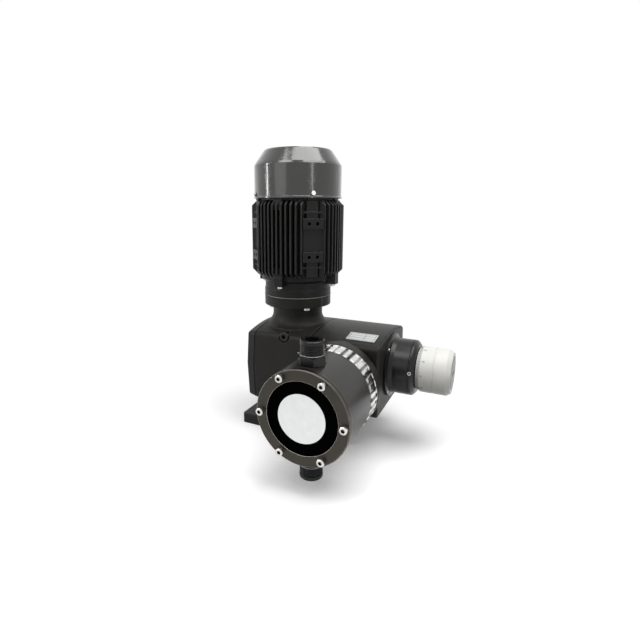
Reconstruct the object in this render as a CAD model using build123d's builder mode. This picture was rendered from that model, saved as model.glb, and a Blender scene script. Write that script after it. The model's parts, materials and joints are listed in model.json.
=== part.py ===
from build123d import *
import math
import os

# A diaphragm metering pump: a vertical motor on a worm gearbox, a mechanically driven
# diaphragm head at the front and a stroke knob at the right. Millimetres, +Z up.
# The origin is the middle of the foot's bolt pattern, on the floor. -Y is the front.

# ---- driving dimensions ------------------------------------------------------------

# Clearances and fits
RUN = 0.05  # radial, between a shaft and its bush
SAFE = 0.3  # between bodies that pass each other
SCREW_GAP = 0.2  # radial, around a screw in a through hole

# Places of the axes
MOTOR_X = -14.0
HEAD_X = 88.0
HEAD_Z = 105.0
SHAFT_Z = HEAD_Z
KNOB_Z = 118.0

# Foot
FOOT_LENGTH = 172.0
FOOT_WIDTH = 120.0
FOOT_THICK = 16.0
FOOT_CORNER_R = 5.0
FOOT_EDGE_R = 1.5
FOOT_HOLE_X = 148.0
FOOT_HOLE_Y = 48.0
FOOT_HOLE_R = 4.5
PEDESTAL_DEPTH = 90.0
PEDESTAL_WALL = 9.0
PEDESTAL_GAP = 4.0
BASE_SCREW_R = 3.0
BASE_HEAD_R = 5.0
BASE_HEX_R = 2.6
BASE_SCREW_REACH = 6.4
PEDESTAL_CORNER_R = 6.0
BOLT_ROOM = 4.0  # between a foot bolt's hole and a pedestal

# Castings
BOX_HALF_DEPTH = 74.5
BOX_DRAFT = 5.0
BOX_PART_Z = 110.0
BOX_TOP = 170.0
BOX_ARCH_R = 260.0
BOX_CORNER_R = 8.0
BOX_BULGE_R = 60.0
GEARBOX_BOTTOM = 52.0
ADJUSTER_BOTTOM = 58.0
GEARBOX_LEFT = -52.0
GEARBOX_RIGHT = 37.0
ADJUSTER_RIGHT = 143.0
WALL = 8.0
GASKET = 0.8
COVER_THICK = 15.0
COVER_TAPER = 12.0
COVER_EDGE_R = 3.0
COVER_SCREW_R = 2.5
COVER_SCREW_Y = 60.0
COVER_SCREW_LOW = 64.0
COVER_SCREW_HIGH = 148.0
END_EDGE_R = 4.0
SEAM_SCREW_R = 2.5
SEAM_SCREW_LOW = 70.0

# Oil plug and roof plate
PLUG_X = MOTOR_X + 11.0
PLUG_Z = 159.0
PLUG_R = 6.0
PLUG_RECESS_R = 9.0
PLUG_RECESS = 2.5
PLUG_PROUD = 0.4
PLATE_X = HEAD_X + 22.0
PLATE_Y = -43.0
PLATE_LONG = 42.0
PLATE_WIDE = 24.0
PLATE_THICK = 0.8
PLATE_SINK = 0.3  # the flat plate's middle sits in the arched roof by this much

# Neck and motor flange
NECK_R = 39.5
NECK_FLARE = 14.0
NECK_BORE_R = 30.0
FLANGE_R = 52.5
FLANGE_TOP = 213.5
FLANGE_THICK = 15.0
SPIGOT_R = 35.0
SPIGOT_H = 2.5
MOTOR_BOLT_R = 42.5
MOTOR_SCREW_R = 3.0

# Worm and wheel
MODULE = 2.0
TEETH = 24
WORM_PITCH_R = 10.0
WHEEL_WIDTH = 16.0
WHEEL_HUB_R = 17.0
WHEEL_HUB_WIDTH = 26.0
TOOTH_SHARE = 0.38  # tooth thickness as a share of the pitch, which leaves backlash
FLANK_DEG = 20.0
WORM_TURNS = 4
WORM_SHAFT_R = 10.0
WORM_TAIL_R = 7.5
WORM_SLEEVE_R = 11.0
LOW_BEARING = (7.5, 17.5, 11.0)
TOP_BEARING = (10.0, 23.5, 14.0)
TOP_BEARING_Z = 150.0
SEAL_R = 26.0
SEAL_THICK = 7.0

# Eccentric shaft and its bearings (inner radius, outer radius, width)
SHAFT_R = 10.0
SHAFT_TAIL_R = 8.5
TAIL_BEARING = (8.5, 17.5, 10.0)
MID_BEARING = (10.0, 21.0, 12.0)
ECC_THROW = 4.0
ECC_R = 18.0
ECC_RING_R = 24.0
ECC_WIDTH = 14.0
ECC_X = 78.0
RING_SHARE = 0.3  # how much of a bearing's section each of its rings takes

# Pushrod, spring and diaphragm
ROD_R = 9.0
FOLLOWER_THICK = 10.0
FOLLOWER_HEIGHT = 44.0
FOLLOWER_LEFT = 24.0
FOLLOWER_RIGHT = 5.0
STOP_RIGHT = 114.0
STOP_HEIGHT = 20.0
STOP_THICK = 12.0
SPRING_COLLAR_R = 20.0
SPRING_COLLAR_THICK = 5.0
SPRING_WIRE_R = 1.4
SPRING_MEAN_R = 15.5
SPRING_TURNS = 4
BUSH_R = 13.0
BUSH_FLANGE_R = 19.0
BUSH_FLANGE = 3.0
BUSH_LENGTH = 26.0
SPACER_FLATS = 36
SPACER_RIM = 3.0

# Head, from the gearbox outwards
BOSS_R = 58.0
BOSS_FRONT = 77.0
HEAD_R = 60.0
RING_R = 62.0
RING_DEPTH = 17.0
SPACER_DEPTH = 25.0
SPACER_BORE_R = 40.0
DIAPHRAGM_THICK = 3.0
DIAPHRAGM_WEB = 1.0
DISC_R = 28.0
DISC_THICK = 5.0
HEAD_DEPTH = 68.0
CHAMBER_R = 36.0
CHAMBER_DEPTH = 16.0
PASSAGE_R = 7.0
FRONT_RING_DEPTH = 8.0
FRONT_RING_R = 60.5
WINDOW_R = 46.3
LABEL_R = 30.8
LABEL_THICK = 0.5
DISC_RECESS = 0.6
HEAD_SCREW_CIRCLE = 53.8
HEAD_SCREW_R = 3.0
HEAD_CAP_R = 4.8
HEAD_CAP_H = 6.0
HEAD_HEX_R = 2.6
HEAD_SCREWS = 6
MOUNT_SCREW_CIRCLE = 46.0
MOUNT_HEAD_R = 5.0
MOUNT_HEAD_H = 6.0

# Valves
VALVE_Y = -168.0
VALVE_REACH = 89.5
VALVE_PLUG_R = 12.5
VALVE_PLUG_DEPTH = 16.0
VALVE_NUT_R = 17.2
VALVE_NUT_H = 13.0
VALVE_THREAD_R = 14.6
VALVE_THREAD_DEPTH = 1.2
THREAD_PITCH = 2.0
VALVE_COLLAR_R = 14.8
VALVE_COLLAR_H = 5.0
VALVE_BORE_R = 9.5
BALL_R = 6.0
BALL_LIFT = 3.0
BALL_CAGE_GAP = 1.0
SEAT_R = 4.5

# Stroke knob
THREAD_LEAD = 2.0
KNOB_TURNS = 5
KNOB_TRAVEL = THREAD_LEAD * KNOB_TURNS
SLEEVE_R = 40.6
SLEEVE_FLANGE_R = 47.0
SLEEVE_FLANGE = 3.0
SLEEVE_SCREW_CIRCLE = 44.0
SLEEVE_SCREW_R = 1.5
SLEEVE_SCREW_DEPTH = 6.0
SLEEVE_SCREW_HEAD_R = 2.5
SLEEVE_END = 183.0
SLEEVE_WALL = 7.0
SLEEVE_WEB = 6.0
SLEEVE_GROOVE_X = 178.0
LOCK_SCREW_R = 2.5
LOCK_LEAN_DEG = -6.0
KNOB_R = 33.0
KNOB_LEFT = 184.0
KNOB_RIGHT = 231.0
KNOB_END_R = 29.3
KNOB_SKIRT = 24.0
KNOB_WALL = 4.0
KNOB_BEVEL = 6.0
CAP_R = 24.0
CAP_THICK = 4.0
SPINDLE_R = 8.0
CONE_R = 12.0
CONE_TIP_R = 4.0
CONE_TIP_X = 99.0
CONE_STEM_END = 150.0
BORE_X = 112.0

# Motor, upwards from the flange
SHIELD_FLANGE = 10.0
SHIELD_BARREL_R = 51.5
FRAME_LOW = 246.5
FRAME_HIGH = 358.5
SHIELD_NECK_Z = FRAME_LOW - 6.5
FRAME_BORE_R = 52.0
FRAME_WALL_R = 57.0
FIN_R = 70.5
FIN_THICK = 2.4
FIN_PITCH = 7.0
FINS_EACH_SIDE = 5
FIN_BEVEL = 8.0
CORNER_WIDTH = 49.0
CORNER_REACH = 61.0
PAD_RIB_WIDTH = 26.0
PAD_RIB_REACH = 64.5
PAD_NECK_WIDTH = 17.0
PAD_WIDTH = 31.0
PAD_HEIGHT = 14.5
PAD_REACH = 69.0
PAD_LIP = 2.5
PAD_LOW_Z = FRAME_LOW + 31.0
PAD_HIGH_Z = FRAME_HIGH - 33.5
PAD_HOLE_R = 2.8
PAD_HOLE_DEPTH = 8.0
PAD_HOLE_SPAN = 12.5
TIE_R = 60.0
TIE_LUG_WIDTH = 12.6
TIE_LUG_REACH = 66.5
TIE_LUG_HEIGHT = 14.0
TIE_LUG_DROP = 7.0
TIE_SCREW_R = 2.0
TIE_HEAD_R = 3.6
TIE_HEAD_H = 3.5
SHAFT_MOTOR_R = 7.0
SHAFT_CORE_R = 12.0
SHAFT_LENGTH = 30.0
DRIVE_BEARING = (8.5, 20.0, 12.0)
DRIVE_BEARING_DEPTH = 8.0
REAR_BEARING = (7.5, 17.5, 11.0)
ROTOR_R = 30.5
AIR_GAP = 0.5
CORE_LOW = FRAME_LOW + 23.5
CORE_HIGH = FRAME_HIGH - 28.5
WINDING_REACH = 12.0
REAR_SHIELD_THICK = 12.0
REAR_RIM_R = 62.0
FAN_R = 55.0
FAN_BLADES = 7
FAN_BLADE_H = 22.0
FAN_LOW = FRAME_HIGH + 15.5
COVER_RIM_Z = FRAME_HIGH + 2.8
FAN_SCREW_Z = FRAME_HIGH + 9.0
FAN_SCREW_R = 1.5
FAN_SCREW_HEAD_R = 3.2
FAN_SCREW_LENGTH = 9.0
LUG_WIDTH = 14.0
LUG_ABOVE_SCREW = 4.0
COVER_R = 66.8
COVER_SHOULDER_Z = FRAME_HIGH + 53.5
COVER_TOP_Z = COVER_SHOULDER_Z + 20.0
COVER_TOP_R = 51.0
SHEET = 1.5
RIM_BEAD = 1.2
GRILLE_SLOTS = 16
TERMINAL_ANGLE = 135.0
TERMINAL_SIZE = 76.0
TERMINAL_HEIGHT = 76.0
TERMINAL_OUTER = 98.0
TERMINAL_WALL = 3.0
LID_THICK = 8.0
LID_SCREW_INSET = 8.0
GLAND_R = 10.0
GLAND_NUT_R = 13.0
GLAND_BORE_R = 5.5

# ---- places that follow from the driving dimensions --------------------------------

WHEEL_R = MODULE * TEETH / 2
WORM_TIP_R = WORM_PITCH_R + MODULE
WORM_ROOT_R = WORM_PITCH_R - 1.25 * MODULE
WHEEL_TIP_R = WHEEL_R + MODULE
WHEEL_ROOT_R = WHEEL_R - 1.25 * MODULE
WHEEL_Y = WORM_PITCH_R + WHEEL_R
WORM_LEAD = math.pi * MODULE
RING_BACK = -BOSS_FRONT
SPACER_BACK = RING_BACK - RING_DEPTH
DIAPHRAGM_BACK = SPACER_BACK - SPACER_DEPTH
HEAD_BACK = DIAPHRAGM_BACK - DIAPHRAGM_THICK
DIAPHRAGM_R = HEAD_SCREW_CIRCLE - HEAD_SCREW_R - SCREW_GAP - DIAPHRAGM_WEB
PLATE_BACK = HEAD_BACK - HEAD_DEPTH
PLATE_FRONT = PLATE_BACK - FRONT_RING_DEPTH
FOLLOWER_BACK = WHEEL_Y - ECC_RING_R - ECC_THROW - SAFE
STOP_FACE = -CONE_R - SAFE
COLLAR_FRONT = STOP_FACE - STOP_THICK - SPRING_COLLAR_THICK
ADJUSTER_LEFT = GEARBOX_RIGHT + GASKET
COVER_SEAM = GEARBOX_LEFT - GASKET
COVER_LEFT = COVER_SEAM - COVER_THICK
SHIELD_LOW = FLANGE_TOP + GASKET
FLANGE_LOW = FLANGE_TOP - FLANGE_THICK
REAR_TOP = FRAME_HIGH + REAR_SHIELD_THICK
LOW_BEARING_Z = GEARBOX_BOTTOM + WALL

# The four axes, as planes whose normal is the axis: motor up, shaft and knob to the
# right, head to the front.
MOTOR = Plane(origin=(MOTOR_X, 0, 0), x_dir=(1, 0, 0), z_dir=(0, 0, 1))
SHAFT = Plane(origin=(0, WHEEL_Y, SHAFT_Z), x_dir=(0, 1, 0), z_dir=(1, 0, 0))
KNOB = Plane(origin=(0, 0, KNOB_Z), x_dir=(0, 1, 0), z_dir=(1, 0, 0))
HEAD = Plane(origin=(HEAD_X, 0, HEAD_Z), x_dir=(1, 0, 0), z_dir=(0, -1, 0))
UP_VALVE = Plane(origin=(HEAD_X, VALVE_Y, HEAD_Z), x_dir=(1, 0, 0), z_dir=(0, 0, 1))
DOWN_VALVE = Plane(origin=(HEAD_X, VALVE_Y, HEAD_Z), x_dir=(1, 0, 0), z_dir=(0, 0, -1))

os.makedirs("parts", exist_ok=True)


def save(piece, label):
    """Names a finished piece and writes its file."""
    piece.part.label = label
    export_step(piece.part, f"parts/{label}.step")


def turn(axis, outline, mode=Mode.ADD):
    """Turns an outline of (radius, distance along the axis) corners about an axis."""
    with BuildSketch(Plane(origin=axis.origin, x_dir=axis.x_dir, z_dir=-axis.y_dir)) as profile:
        with BuildLine():
            Polyline(*outline, close=True)
        make_face()
    revolve(profile.sketch, axis=Axis(axis.origin, axis.z_dir), mode=mode)


def tube(axis, low, high, outer, inner=0.0, mode=Mode.ADD):
    """A round bar or tube along an axis."""
    with BuildSketch(axis.offset(low)) as section:
        Circle(outer)
        if inner > 0:
            Circle(inner, mode=Mode.SUBTRACT)
    extrude(section.sketch, amount=high - low, mode=mode)


def polar_rods(axis, low, high, radius, circle, count, start=0.0, mode=Mode.ADD):
    """Equal round bars on a circle about an axis."""
    with BuildSketch(axis.offset(low)) as section:
        with PolarLocations(circle, count, start_angle=start):
            Circle(radius)
    extrude(section.sketch, amount=high - low, mode=mode)


def block(x_range, y_range, z_range, mode=Mode.ADD):
    """A square-cornered block between given faces."""
    size = [high - low for low, high in (x_range, y_range, z_range)]
    middle = [(high + low) / 2 for low, high in (x_range, y_range, z_range)]
    with Locations(tuple(middle)):
        Box(*size, mode=mode)


def casting_outline(low_z, inset=0.0):
    """The castings' section across Y and Z: drafted sides and an arched top."""
    half = BOX_HALF_DEPTH - inset
    low = low_z + inset
    top = BOX_TOP - inset
    narrow = half - BOX_DRAFT
    arch_r = BOX_ARCH_R - inset
    shoulder = top - (arch_r - math.sqrt(arch_r**2 - narrow**2))
    with BuildSketch(Plane.YZ) as section:
        with BuildLine():
            Polyline(
                (-narrow, shoulder),
                (-half, BOX_PART_Z),
                (-narrow, low),
                (narrow, low),
                (half, BOX_PART_Z),
                (narrow, shoulder),
            )
            ThreePointArc((narrow, shoulder), (0, top), (-narrow, shoulder))
        make_face()
        corners = section.vertices()
        sides = corners.filter_by(lambda v: abs(v.Z - BOX_PART_Z) < 1)
        fillet(sides, radius=BOX_BULGE_R)
        rest = section.vertices().filter_by(lambda v: abs(v.Z - BOX_PART_Z) > half / 2)
        fillet(rest, radius=max(BOX_CORNER_R - inset, 1.0))
    return section.sketch


def casting_run(low_z, left, right, inset=0.0, mode=Mode.ADD, taper=0.0):
    """A length of the castings' section from one X to another."""
    outline = casting_outline(low_z, inset)
    forward = right >= left
    extrude(
        outline.moved(Location((left, 0, 0))),
        amount=abs(right - left),
        dir=(1 if forward else -1, 0, 0),
        taper=taper,
        mode=mode,
    )


def screw(axis, low, high, radius, head_r, head_h, hex_r=0.0):
    """A cap screw: its head's top is at high, and its shank ends at low."""
    outline = [(0, low), (radius, low), (radius, high - head_h), (head_r, high - head_h)]
    edge = head_h / 8
    outline += [(head_r, high - edge), (head_r - edge, high), (0, high)]
    turn(axis, outline)
    if hex_r > 0:
        with BuildSketch(axis.offset(high)) as recess:
            RegularPolygon(hex_r, 6)
        extrude(recess.sketch, amount=-head_h / 2, mode=Mode.SUBTRACT)


def spot(axis, radius, degrees):
    """An axis parallel to another, on a circle about it."""
    turn_by = math.radians(degrees)
    side = axis.x_dir * (radius * math.cos(turn_by))
    rise = axis.y_dir * (radius * math.sin(turn_by))
    return Plane(origin=axis.origin + side + rise, x_dir=axis.x_dir, z_dir=axis.z_dir)


# ---- foot --------------------------------------------------------------------------

foot_holes = [(x * FOOT_HOLE_X / 2, y * FOOT_HOLE_Y / 2) for x in (-1, 1) for y in (-1, 1)]
pedestals = [
    (GEARBOX_LEFT + PEDESTAL_GAP, GEARBOX_RIGHT - PEDESTAL_GAP, GEARBOX_BOTTOM),
    (ADJUSTER_LEFT + PEDESTAL_GAP, FOOT_HOLE_X / 2 - FOOT_HOLE_R - BOLT_ROOM, ADJUSTER_BOTTOM),
]
pedestal_screws = [
    (x, y, top)
    for left, right, top in pedestals
    for x, y in (((left + right) / 2, -PEDESTAL_DEPTH / 4), ((left + right) / 2, PEDESTAL_DEPTH / 4))
]

with BuildPart() as base_foot:
    with BuildSketch():
        RectangleRounded(FOOT_LENGTH, FOOT_WIDTH, FOOT_CORNER_R)
        with Locations(*foot_holes):
            Circle(FOOT_HOLE_R, mode=Mode.SUBTRACT)
    extrude(amount=FOOT_THICK)
    rim = base_foot.faces().sort_by(Axis.Z)[-1].outer_wire().edges()
    fillet(rim, radius=FOOT_EDGE_R)
    for left, right, top in pedestals:
        middle_x = (left + right) / 2
        with BuildSketch(Plane.XY.offset(FOOT_THICK - FOOT_EDGE_R)) as post:
            with Locations((middle_x, 0)):
                RectangleRounded(right - left, PEDESTAL_DEPTH, PEDESTAL_CORNER_R)
        extrude(post.sketch, amount=top - FOOT_THICK + FOOT_EDGE_R)
        # a wide pedestal is hollow underneath, and a narrow one is left solid
        if right - left > 4 * PEDESTAL_WALL:
            inner_x = (left + PEDESTAL_WALL, right - PEDESTAL_WALL)
            inner_y = PEDESTAL_DEPTH / 2 - PEDESTAL_WALL
            block(inner_x, (-inner_y, inner_y), (0, top - PEDESTAL_WALL), mode=Mode.SUBTRACT)
    for x, y, top in pedestal_screws:
        with Locations((x, y, top - PEDESTAL_WALL / 2)):
            Cylinder(BASE_SCREW_R + SCREW_GAP, PEDESTAL_WALL * 2, mode=Mode.SUBTRACT)
        up = Plane(origin=(x, y, 0), x_dir=(1, 0, 0), z_dir=(0, 0, 1))
        tube(up, 0, top - PEDESTAL_WALL, BASE_HEAD_R + SCREW_GAP, mode=Mode.SUBTRACT)
save(base_foot, "base_foot")

with BuildPart() as base_screws:
    for x, y, top in pedestal_screws:
        under = Plane(origin=(x, y, top), x_dir=(1, 0, 0), z_dir=(0, 0, -1))
        cap_h = 2 * BASE_SCREW_R
        high = PEDESTAL_WALL + cap_h
        screw(under, -BASE_SCREW_REACH, high, BASE_SCREW_R, BASE_HEAD_R, cap_h, BASE_HEX_R)
save(base_screws, "base_screws")

# ---- gearbox castings --------------------------------------------------------------


def foot_screw_holes(bottom):
    """The threaded holes in a casting's floor for the foot's screws."""
    for x, y, top in pedestal_screws:
        if top == bottom:
            up = Plane(origin=(x, y, bottom), x_dir=(1, 0, 0), z_dir=(0, 0, 1))
            tube(up, -1, BASE_SCREW_REACH + SCREW_GAP, BASE_SCREW_R, mode=Mode.SUBTRACT)


cover_screw_spots = [
    (y, z) for y in (-COVER_SCREW_Y, COVER_SCREW_Y) for z in (COVER_SCREW_LOW, COVER_SCREW_HIGH)
]
plug_axis = Plane(origin=(PLUG_X, 0, PLUG_Z), x_dir=(1, 0, 0), z_dir=(0, -1, 0))
plug_face = BOX_HALF_DEPTH - BOX_DRAFT + PLUG_PROUD
seam_screws = [
    (y, z) for y in (-COVER_SCREW_Y, COVER_SCREW_Y) for z in (SEAM_SCREW_LOW, COVER_SCREW_HIGH)
]

with BuildPart() as gearbox_housing:
    casting_run(GEARBOX_BOTTOM, GEARBOX_LEFT, GEARBOX_RIGHT)
    tube(MOTOR, BOX_TOP - WALL, FLANGE_TOP, NECK_R)
    tube(MOTOR, FLANGE_LOW, FLANGE_TOP, FLANGE_R)
    # the neck spreads onto the roof in a wide fillet, cut off flush with the seams
    with BuildSketch(Plane(origin=MOTOR.origin, x_dir=(1, 0, 0), z_dir=(0, -1, 0))) as flare:
        with BuildLine():
            neck_top = (NECK_R, BOX_TOP + NECK_FLARE)
            roof_edge = (NECK_R + NECK_FLARE, BOX_TOP - NECK_FLARE / 4)
            TangentArc(neck_top, roof_edge, tangent=(0, -1))
            Polyline(
                roof_edge,
                (NECK_R + NECK_FLARE, BOX_TOP - NECK_FLARE),
                (NECK_R - 1, BOX_TOP - NECK_FLARE),
                (NECK_R - 1, BOX_TOP + NECK_FLARE),
                neck_top,
            )
        make_face()
    revolve(flare.sketch, axis=Axis(MOTOR.origin, MOTOR.z_dir))
    flare_height = (GEARBOX_BOTTOM, BOX_TOP + NECK_FLARE)
    for beyond_seam in ((GEARBOX_LEFT - NECK_R, GEARBOX_LEFT), (GEARBOX_RIGHT, GEARBOX_RIGHT + NECK_R)):
        block(beyond_seam, (-NECK_R, NECK_R), flare_height, mode=Mode.SUBTRACT)
    # inside: the oil sump, open to the left
    casting_run(GEARBOX_BOTTOM, GEARBOX_LEFT, GEARBOX_RIGHT - WALL, inset=WALL + 2, mode=Mode.SUBTRACT)
    # seats for the worm's lower bearing and the shaft's middle bearing
    low_in, low_out, low_w = LOW_BEARING
    tube(MOTOR, GEARBOX_BOTTOM + 1, LOW_BEARING_Z + low_w, low_out + 5)
    tube(MOTOR, LOW_BEARING_Z, LOW_BEARING_Z + low_w, low_out, mode=Mode.SUBTRACT)
    mid_in, mid_out, mid_w = MID_BEARING
    tube(SHAFT, GEARBOX_RIGHT - WALL - 5, GEARBOX_RIGHT - 1, mid_out + 5)
    tube(SHAFT, GEARBOX_RIGHT - mid_w, GEARBOX_RIGHT, mid_out, mode=Mode.SUBTRACT)
    tube(SHAFT, GEARBOX_RIGHT - 2 * mid_w, GEARBOX_RIGHT, SHAFT_R + 3, mode=Mode.SUBTRACT)
    # the neck's bore: bearing seat, seal seat and motor spigot
    top_in, top_out, top_w = TOP_BEARING
    tube(MOTOR, TOP_BEARING_Z - 4, BOX_TOP, top_out + 6)
    tube(MOTOR, TOP_BEARING_Z - 6, FLANGE_TOP, WORM_SHAFT_R + 6, mode=Mode.SUBTRACT)
    tube(MOTOR, TOP_BEARING_Z, FLANGE_TOP, top_out, mode=Mode.SUBTRACT)
    tube(MOTOR, TOP_BEARING_Z + top_w, FLANGE_TOP, SEAL_R, mode=Mode.SUBTRACT)
    tube(MOTOR, TOP_BEARING_Z + top_w + SEAL_THICK, FLANGE_TOP, NECK_BORE_R, mode=Mode.SUBTRACT)
    tube(MOTOR, FLANGE_TOP - SPIGOT_H - 0.5, FLANGE_TOP, SPIGOT_R, mode=Mode.SUBTRACT)
    polar_rods(
        MOTOR, FLANGE_LOW, FLANGE_TOP, MOTOR_SCREW_R + SCREW_GAP, MOTOR_BOLT_R, 4, 45, Mode.SUBTRACT
    )
    # the plug's recess in the front face
    tube(plug_axis, plug_face - PLUG_RECESS, plug_face + 9, PLUG_RECESS_R, mode=Mode.SUBTRACT)
    tube(plug_axis, plug_face - 16, plug_face, PLUG_R, mode=Mode.SUBTRACT)
    for y, z in cover_screw_spots:
        hole = Plane(origin=(GEARBOX_LEFT, y, z), x_dir=(0, 1, 0), z_dir=(1, 0, 0))
        tube(hole, -1, 14, COVER_SCREW_R, mode=Mode.SUBTRACT)
    for number in range(4):
        head_room = spot(MOTOR, MOTOR_BOLT_R, 45 + 90 * number)
        tube(head_room, FLANGE_LOW - 6, FLANGE_LOW, 5.3, mode=Mode.SUBTRACT)
    foot_screw_holes(GEARBOX_BOTTOM)
save(gearbox_housing, "gearbox_housing")

with BuildPart() as side_cover_gasket:
    casting_run(GEARBOX_BOTTOM, COVER_SEAM, GEARBOX_LEFT)
    casting_run(GEARBOX_BOTTOM, COVER_SEAM - 1, GEARBOX_LEFT + 1, inset=WALL + 2, mode=Mode.SUBTRACT)
    for y, z in cover_screw_spots:
        hole = Plane(origin=(GEARBOX_LEFT, y, z), x_dir=(0, 1, 0), z_dir=(1, 0, 0))
        tube(hole, -2, 2, COVER_SCREW_R + SCREW_GAP, mode=Mode.SUBTRACT)
save(side_cover_gasket, "side_cover_gasket")

tail_in, tail_out, tail_w = TAIL_BEARING
COVER_BOSS_END = GEARBOX_LEFT + 8.0
with BuildPart() as side_cover:
    casting_run(GEARBOX_BOTTOM, COVER_SEAM, COVER_LEFT, taper=COVER_TAPER)
    outer_edges = side_cover.faces().sort_by(Axis.X)[0].edges()
    fillet(outer_edges, radius=COVER_EDGE_R)
    tube(SHAFT, COVER_SEAM - 1, COVER_BOSS_END, tail_out + 4)
    tube(SHAFT, COVER_BOSS_END - tail_w, COVER_BOSS_END, tail_out, mode=Mode.SUBTRACT)
    tube(SHAFT, COVER_BOSS_END - 2 * tail_w + 4, COVER_BOSS_END, tail_in + 3, mode=Mode.SUBTRACT)
    for y, z in cover_screw_spots:
        hole = Plane(origin=(COVER_SEAM, y, z), x_dir=(0, 1, 0), z_dir=(-1, 0, 0))
        tube(hole, -1, COVER_THICK + 1, COVER_SCREW_R + SCREW_GAP, mode=Mode.SUBTRACT)
        tube(hole, COVER_THICK / 2, COVER_THICK + 1, 2.4 * COVER_SCREW_R, mode=Mode.SUBTRACT)
save(side_cover, "side_cover")

with BuildPart() as side_cover_screws:
    for y, z in cover_screw_spots:
        out = Plane(origin=(COVER_SEAM, y, z), x_dir=(0, 1, 0), z_dir=(-1, 0, 0))
        cap_h = 2 * COVER_SCREW_R
        screw(out, -12, COVER_THICK / 2 + cap_h, COVER_SCREW_R, 1.8 * COVER_SCREW_R, cap_h, 2.2)
save(side_cover_screws, "side_cover_screws")

with BuildPart() as oil_plug:
    turn(
        plug_axis,
        [
            (0, plug_face - 10),
            (PLUG_R, plug_face - 10),
            (PLUG_R, plug_face - PLUG_RECESS),
            (PLUG_R + 1.4, plug_face - PLUG_RECESS),
            (PLUG_R + 1.4, plug_face - 0.6),
            (PLUG_R + 0.6, plug_face + 0.2),
            (0, plug_face + 0.2),
        ],
    )
    with BuildSketch(plug_axis.offset(plug_face + 0.2)) as socket:
        RegularPolygon(3.6, 6)
    extrude(socket.sketch, amount=-5, mode=Mode.SUBTRACT)
save(oil_plug, "oil_plug")

with BuildPart() as housing_gasket:
    casting_run(ADJUSTER_BOTTOM, GEARBOX_RIGHT, ADJUSTER_LEFT)
    casting_run(ADJUSTER_BOTTOM, GEARBOX_RIGHT - 1, ADJUSTER_LEFT + 1, inset=WALL, mode=Mode.SUBTRACT)
    for y, z in seam_screws:
        hole = Plane(origin=(GEARBOX_RIGHT, y, z), x_dir=(0, 1, 0), z_dir=(1, 0, 0))
        tube(hole, -1, 2, SEAM_SCREW_R + SCREW_GAP, mode=Mode.SUBTRACT)
save(housing_gasket, "housing_gasket")

sleeve_screw_spots = [spot(KNOB, SLEEVE_SCREW_CIRCLE, 45 + 90 * number) for number in range(4)]
INNER_RIGHT = ADJUSTER_RIGHT - WALL
with BuildPart() as adjuster_housing:
    casting_run(ADJUSTER_BOTTOM, ADJUSTER_LEFT, ADJUSTER_RIGHT)
    end_edges = adjuster_housing.faces().sort_by(Axis.X)[-1].edges()
    fillet(end_edges, radius=END_EDGE_R)
    # the round boss that carries the head
    tube(HEAD, BOX_HALF_DEPTH - BOX_DRAFT - WALL, BOSS_FRONT, BOSS_R)
    beyond = (ADJUSTER_LEFT - 2 * BOSS_R, ADJUSTER_LEFT)
    block(beyond, (-2 * BOSS_R, 0), (0, BOX_TOP), mode=Mode.SUBTRACT)
    # inside: the eccentric's room
    casting_run(ADJUSTER_BOTTOM, ADJUSTER_LEFT, INNER_RIGHT, inset=WALL, mode=Mode.SUBTRACT)
    # the boss and bore of the rod's bush
    tube(HEAD, BOSS_FRONT - BUSH_LENGTH + BUSH_FLANGE, BOSS_FRONT - 1, BUSH_R + 8)
    tube(HEAD, BOSS_FRONT - BUSH_LENGTH, BOSS_FRONT, BUSH_R, mode=Mode.SUBTRACT)
    tube(HEAD, BOSS_FRONT - 8, BOSS_FRONT, SPACER_BORE_R - 8, mode=Mode.SUBTRACT)
    # the bore of the stop's stem, through the right wall
    tube(KNOB, INNER_RIGHT - 8, ADJUSTER_RIGHT - 1, CONE_R + 7)
    tube(KNOB, INNER_RIGHT - 8, ADJUSTER_RIGHT, CONE_R + RUN, mode=Mode.SUBTRACT)
    for hole in sleeve_screw_spots:
        tube(hole, ADJUSTER_RIGHT - SLEEVE_SCREW_DEPTH, ADJUSTER_RIGHT, SLEEVE_SCREW_R, mode=Mode.SUBTRACT)
    polar_rods(
        HEAD, BOSS_FRONT - 12, BOSS_FRONT + 1, HEAD_SCREW_R, MOUNT_SCREW_CIRCLE, 4, 45, Mode.SUBTRACT
    )
    foot_screw_holes(ADJUSTER_BOTTOM)
save(adjuster_housing, "adjuster_housing")

arch_z = BOX_TOP - BOX_ARCH_R + math.sqrt(BOX_ARCH_R**2 - PLATE_Y**2)
plate_tilt = math.degrees(math.asin(-PLATE_Y / BOX_ARCH_R))
plate_plane = Plane(
    origin=(PLATE_X, PLATE_Y, arch_z - PLATE_SINK),
    x_dir=(1, 0, 0),
    z_dir=(0, -math.sin(math.radians(plate_tilt)), math.cos(math.radians(plate_tilt))),
)
with BuildPart() as nameplate:
    with BuildSketch(plate_plane) as blank:
        RectangleRounded(PLATE_LONG, PLATE_WIDE, 1.5)
    extrude(blank.sketch, amount=PLATE_THICK)
    under_plate = casting_outline(ADJUSTER_BOTTOM)
    extrude(under_plate.moved(Location((ADJUSTER_LEFT, 0, 0))), amount=120, dir=(1, 0, 0), mode=Mode.SUBTRACT)
save(nameplate, "nameplate")

# ---- worm, wheel and eccentric shaft -----------------------------------------------


def bearing_rings(axis, low, size, which):
    """A bearing's outer or inner rings, with the sealing shields on the outer one."""
    inner, outer, width = size
    section = (outer - inner) * RING_SHARE
    if which == "outer":
        shield = 1.0
        tube(axis, low, low + width, outer, outer - section)
        for start in (low + 0.5, low + width - 0.5 - shield):
            tube(axis, start, start + shield, outer - section, inner + section + SAFE)
    else:
        tube(axis, low, low + width, inner + section, inner)


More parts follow.
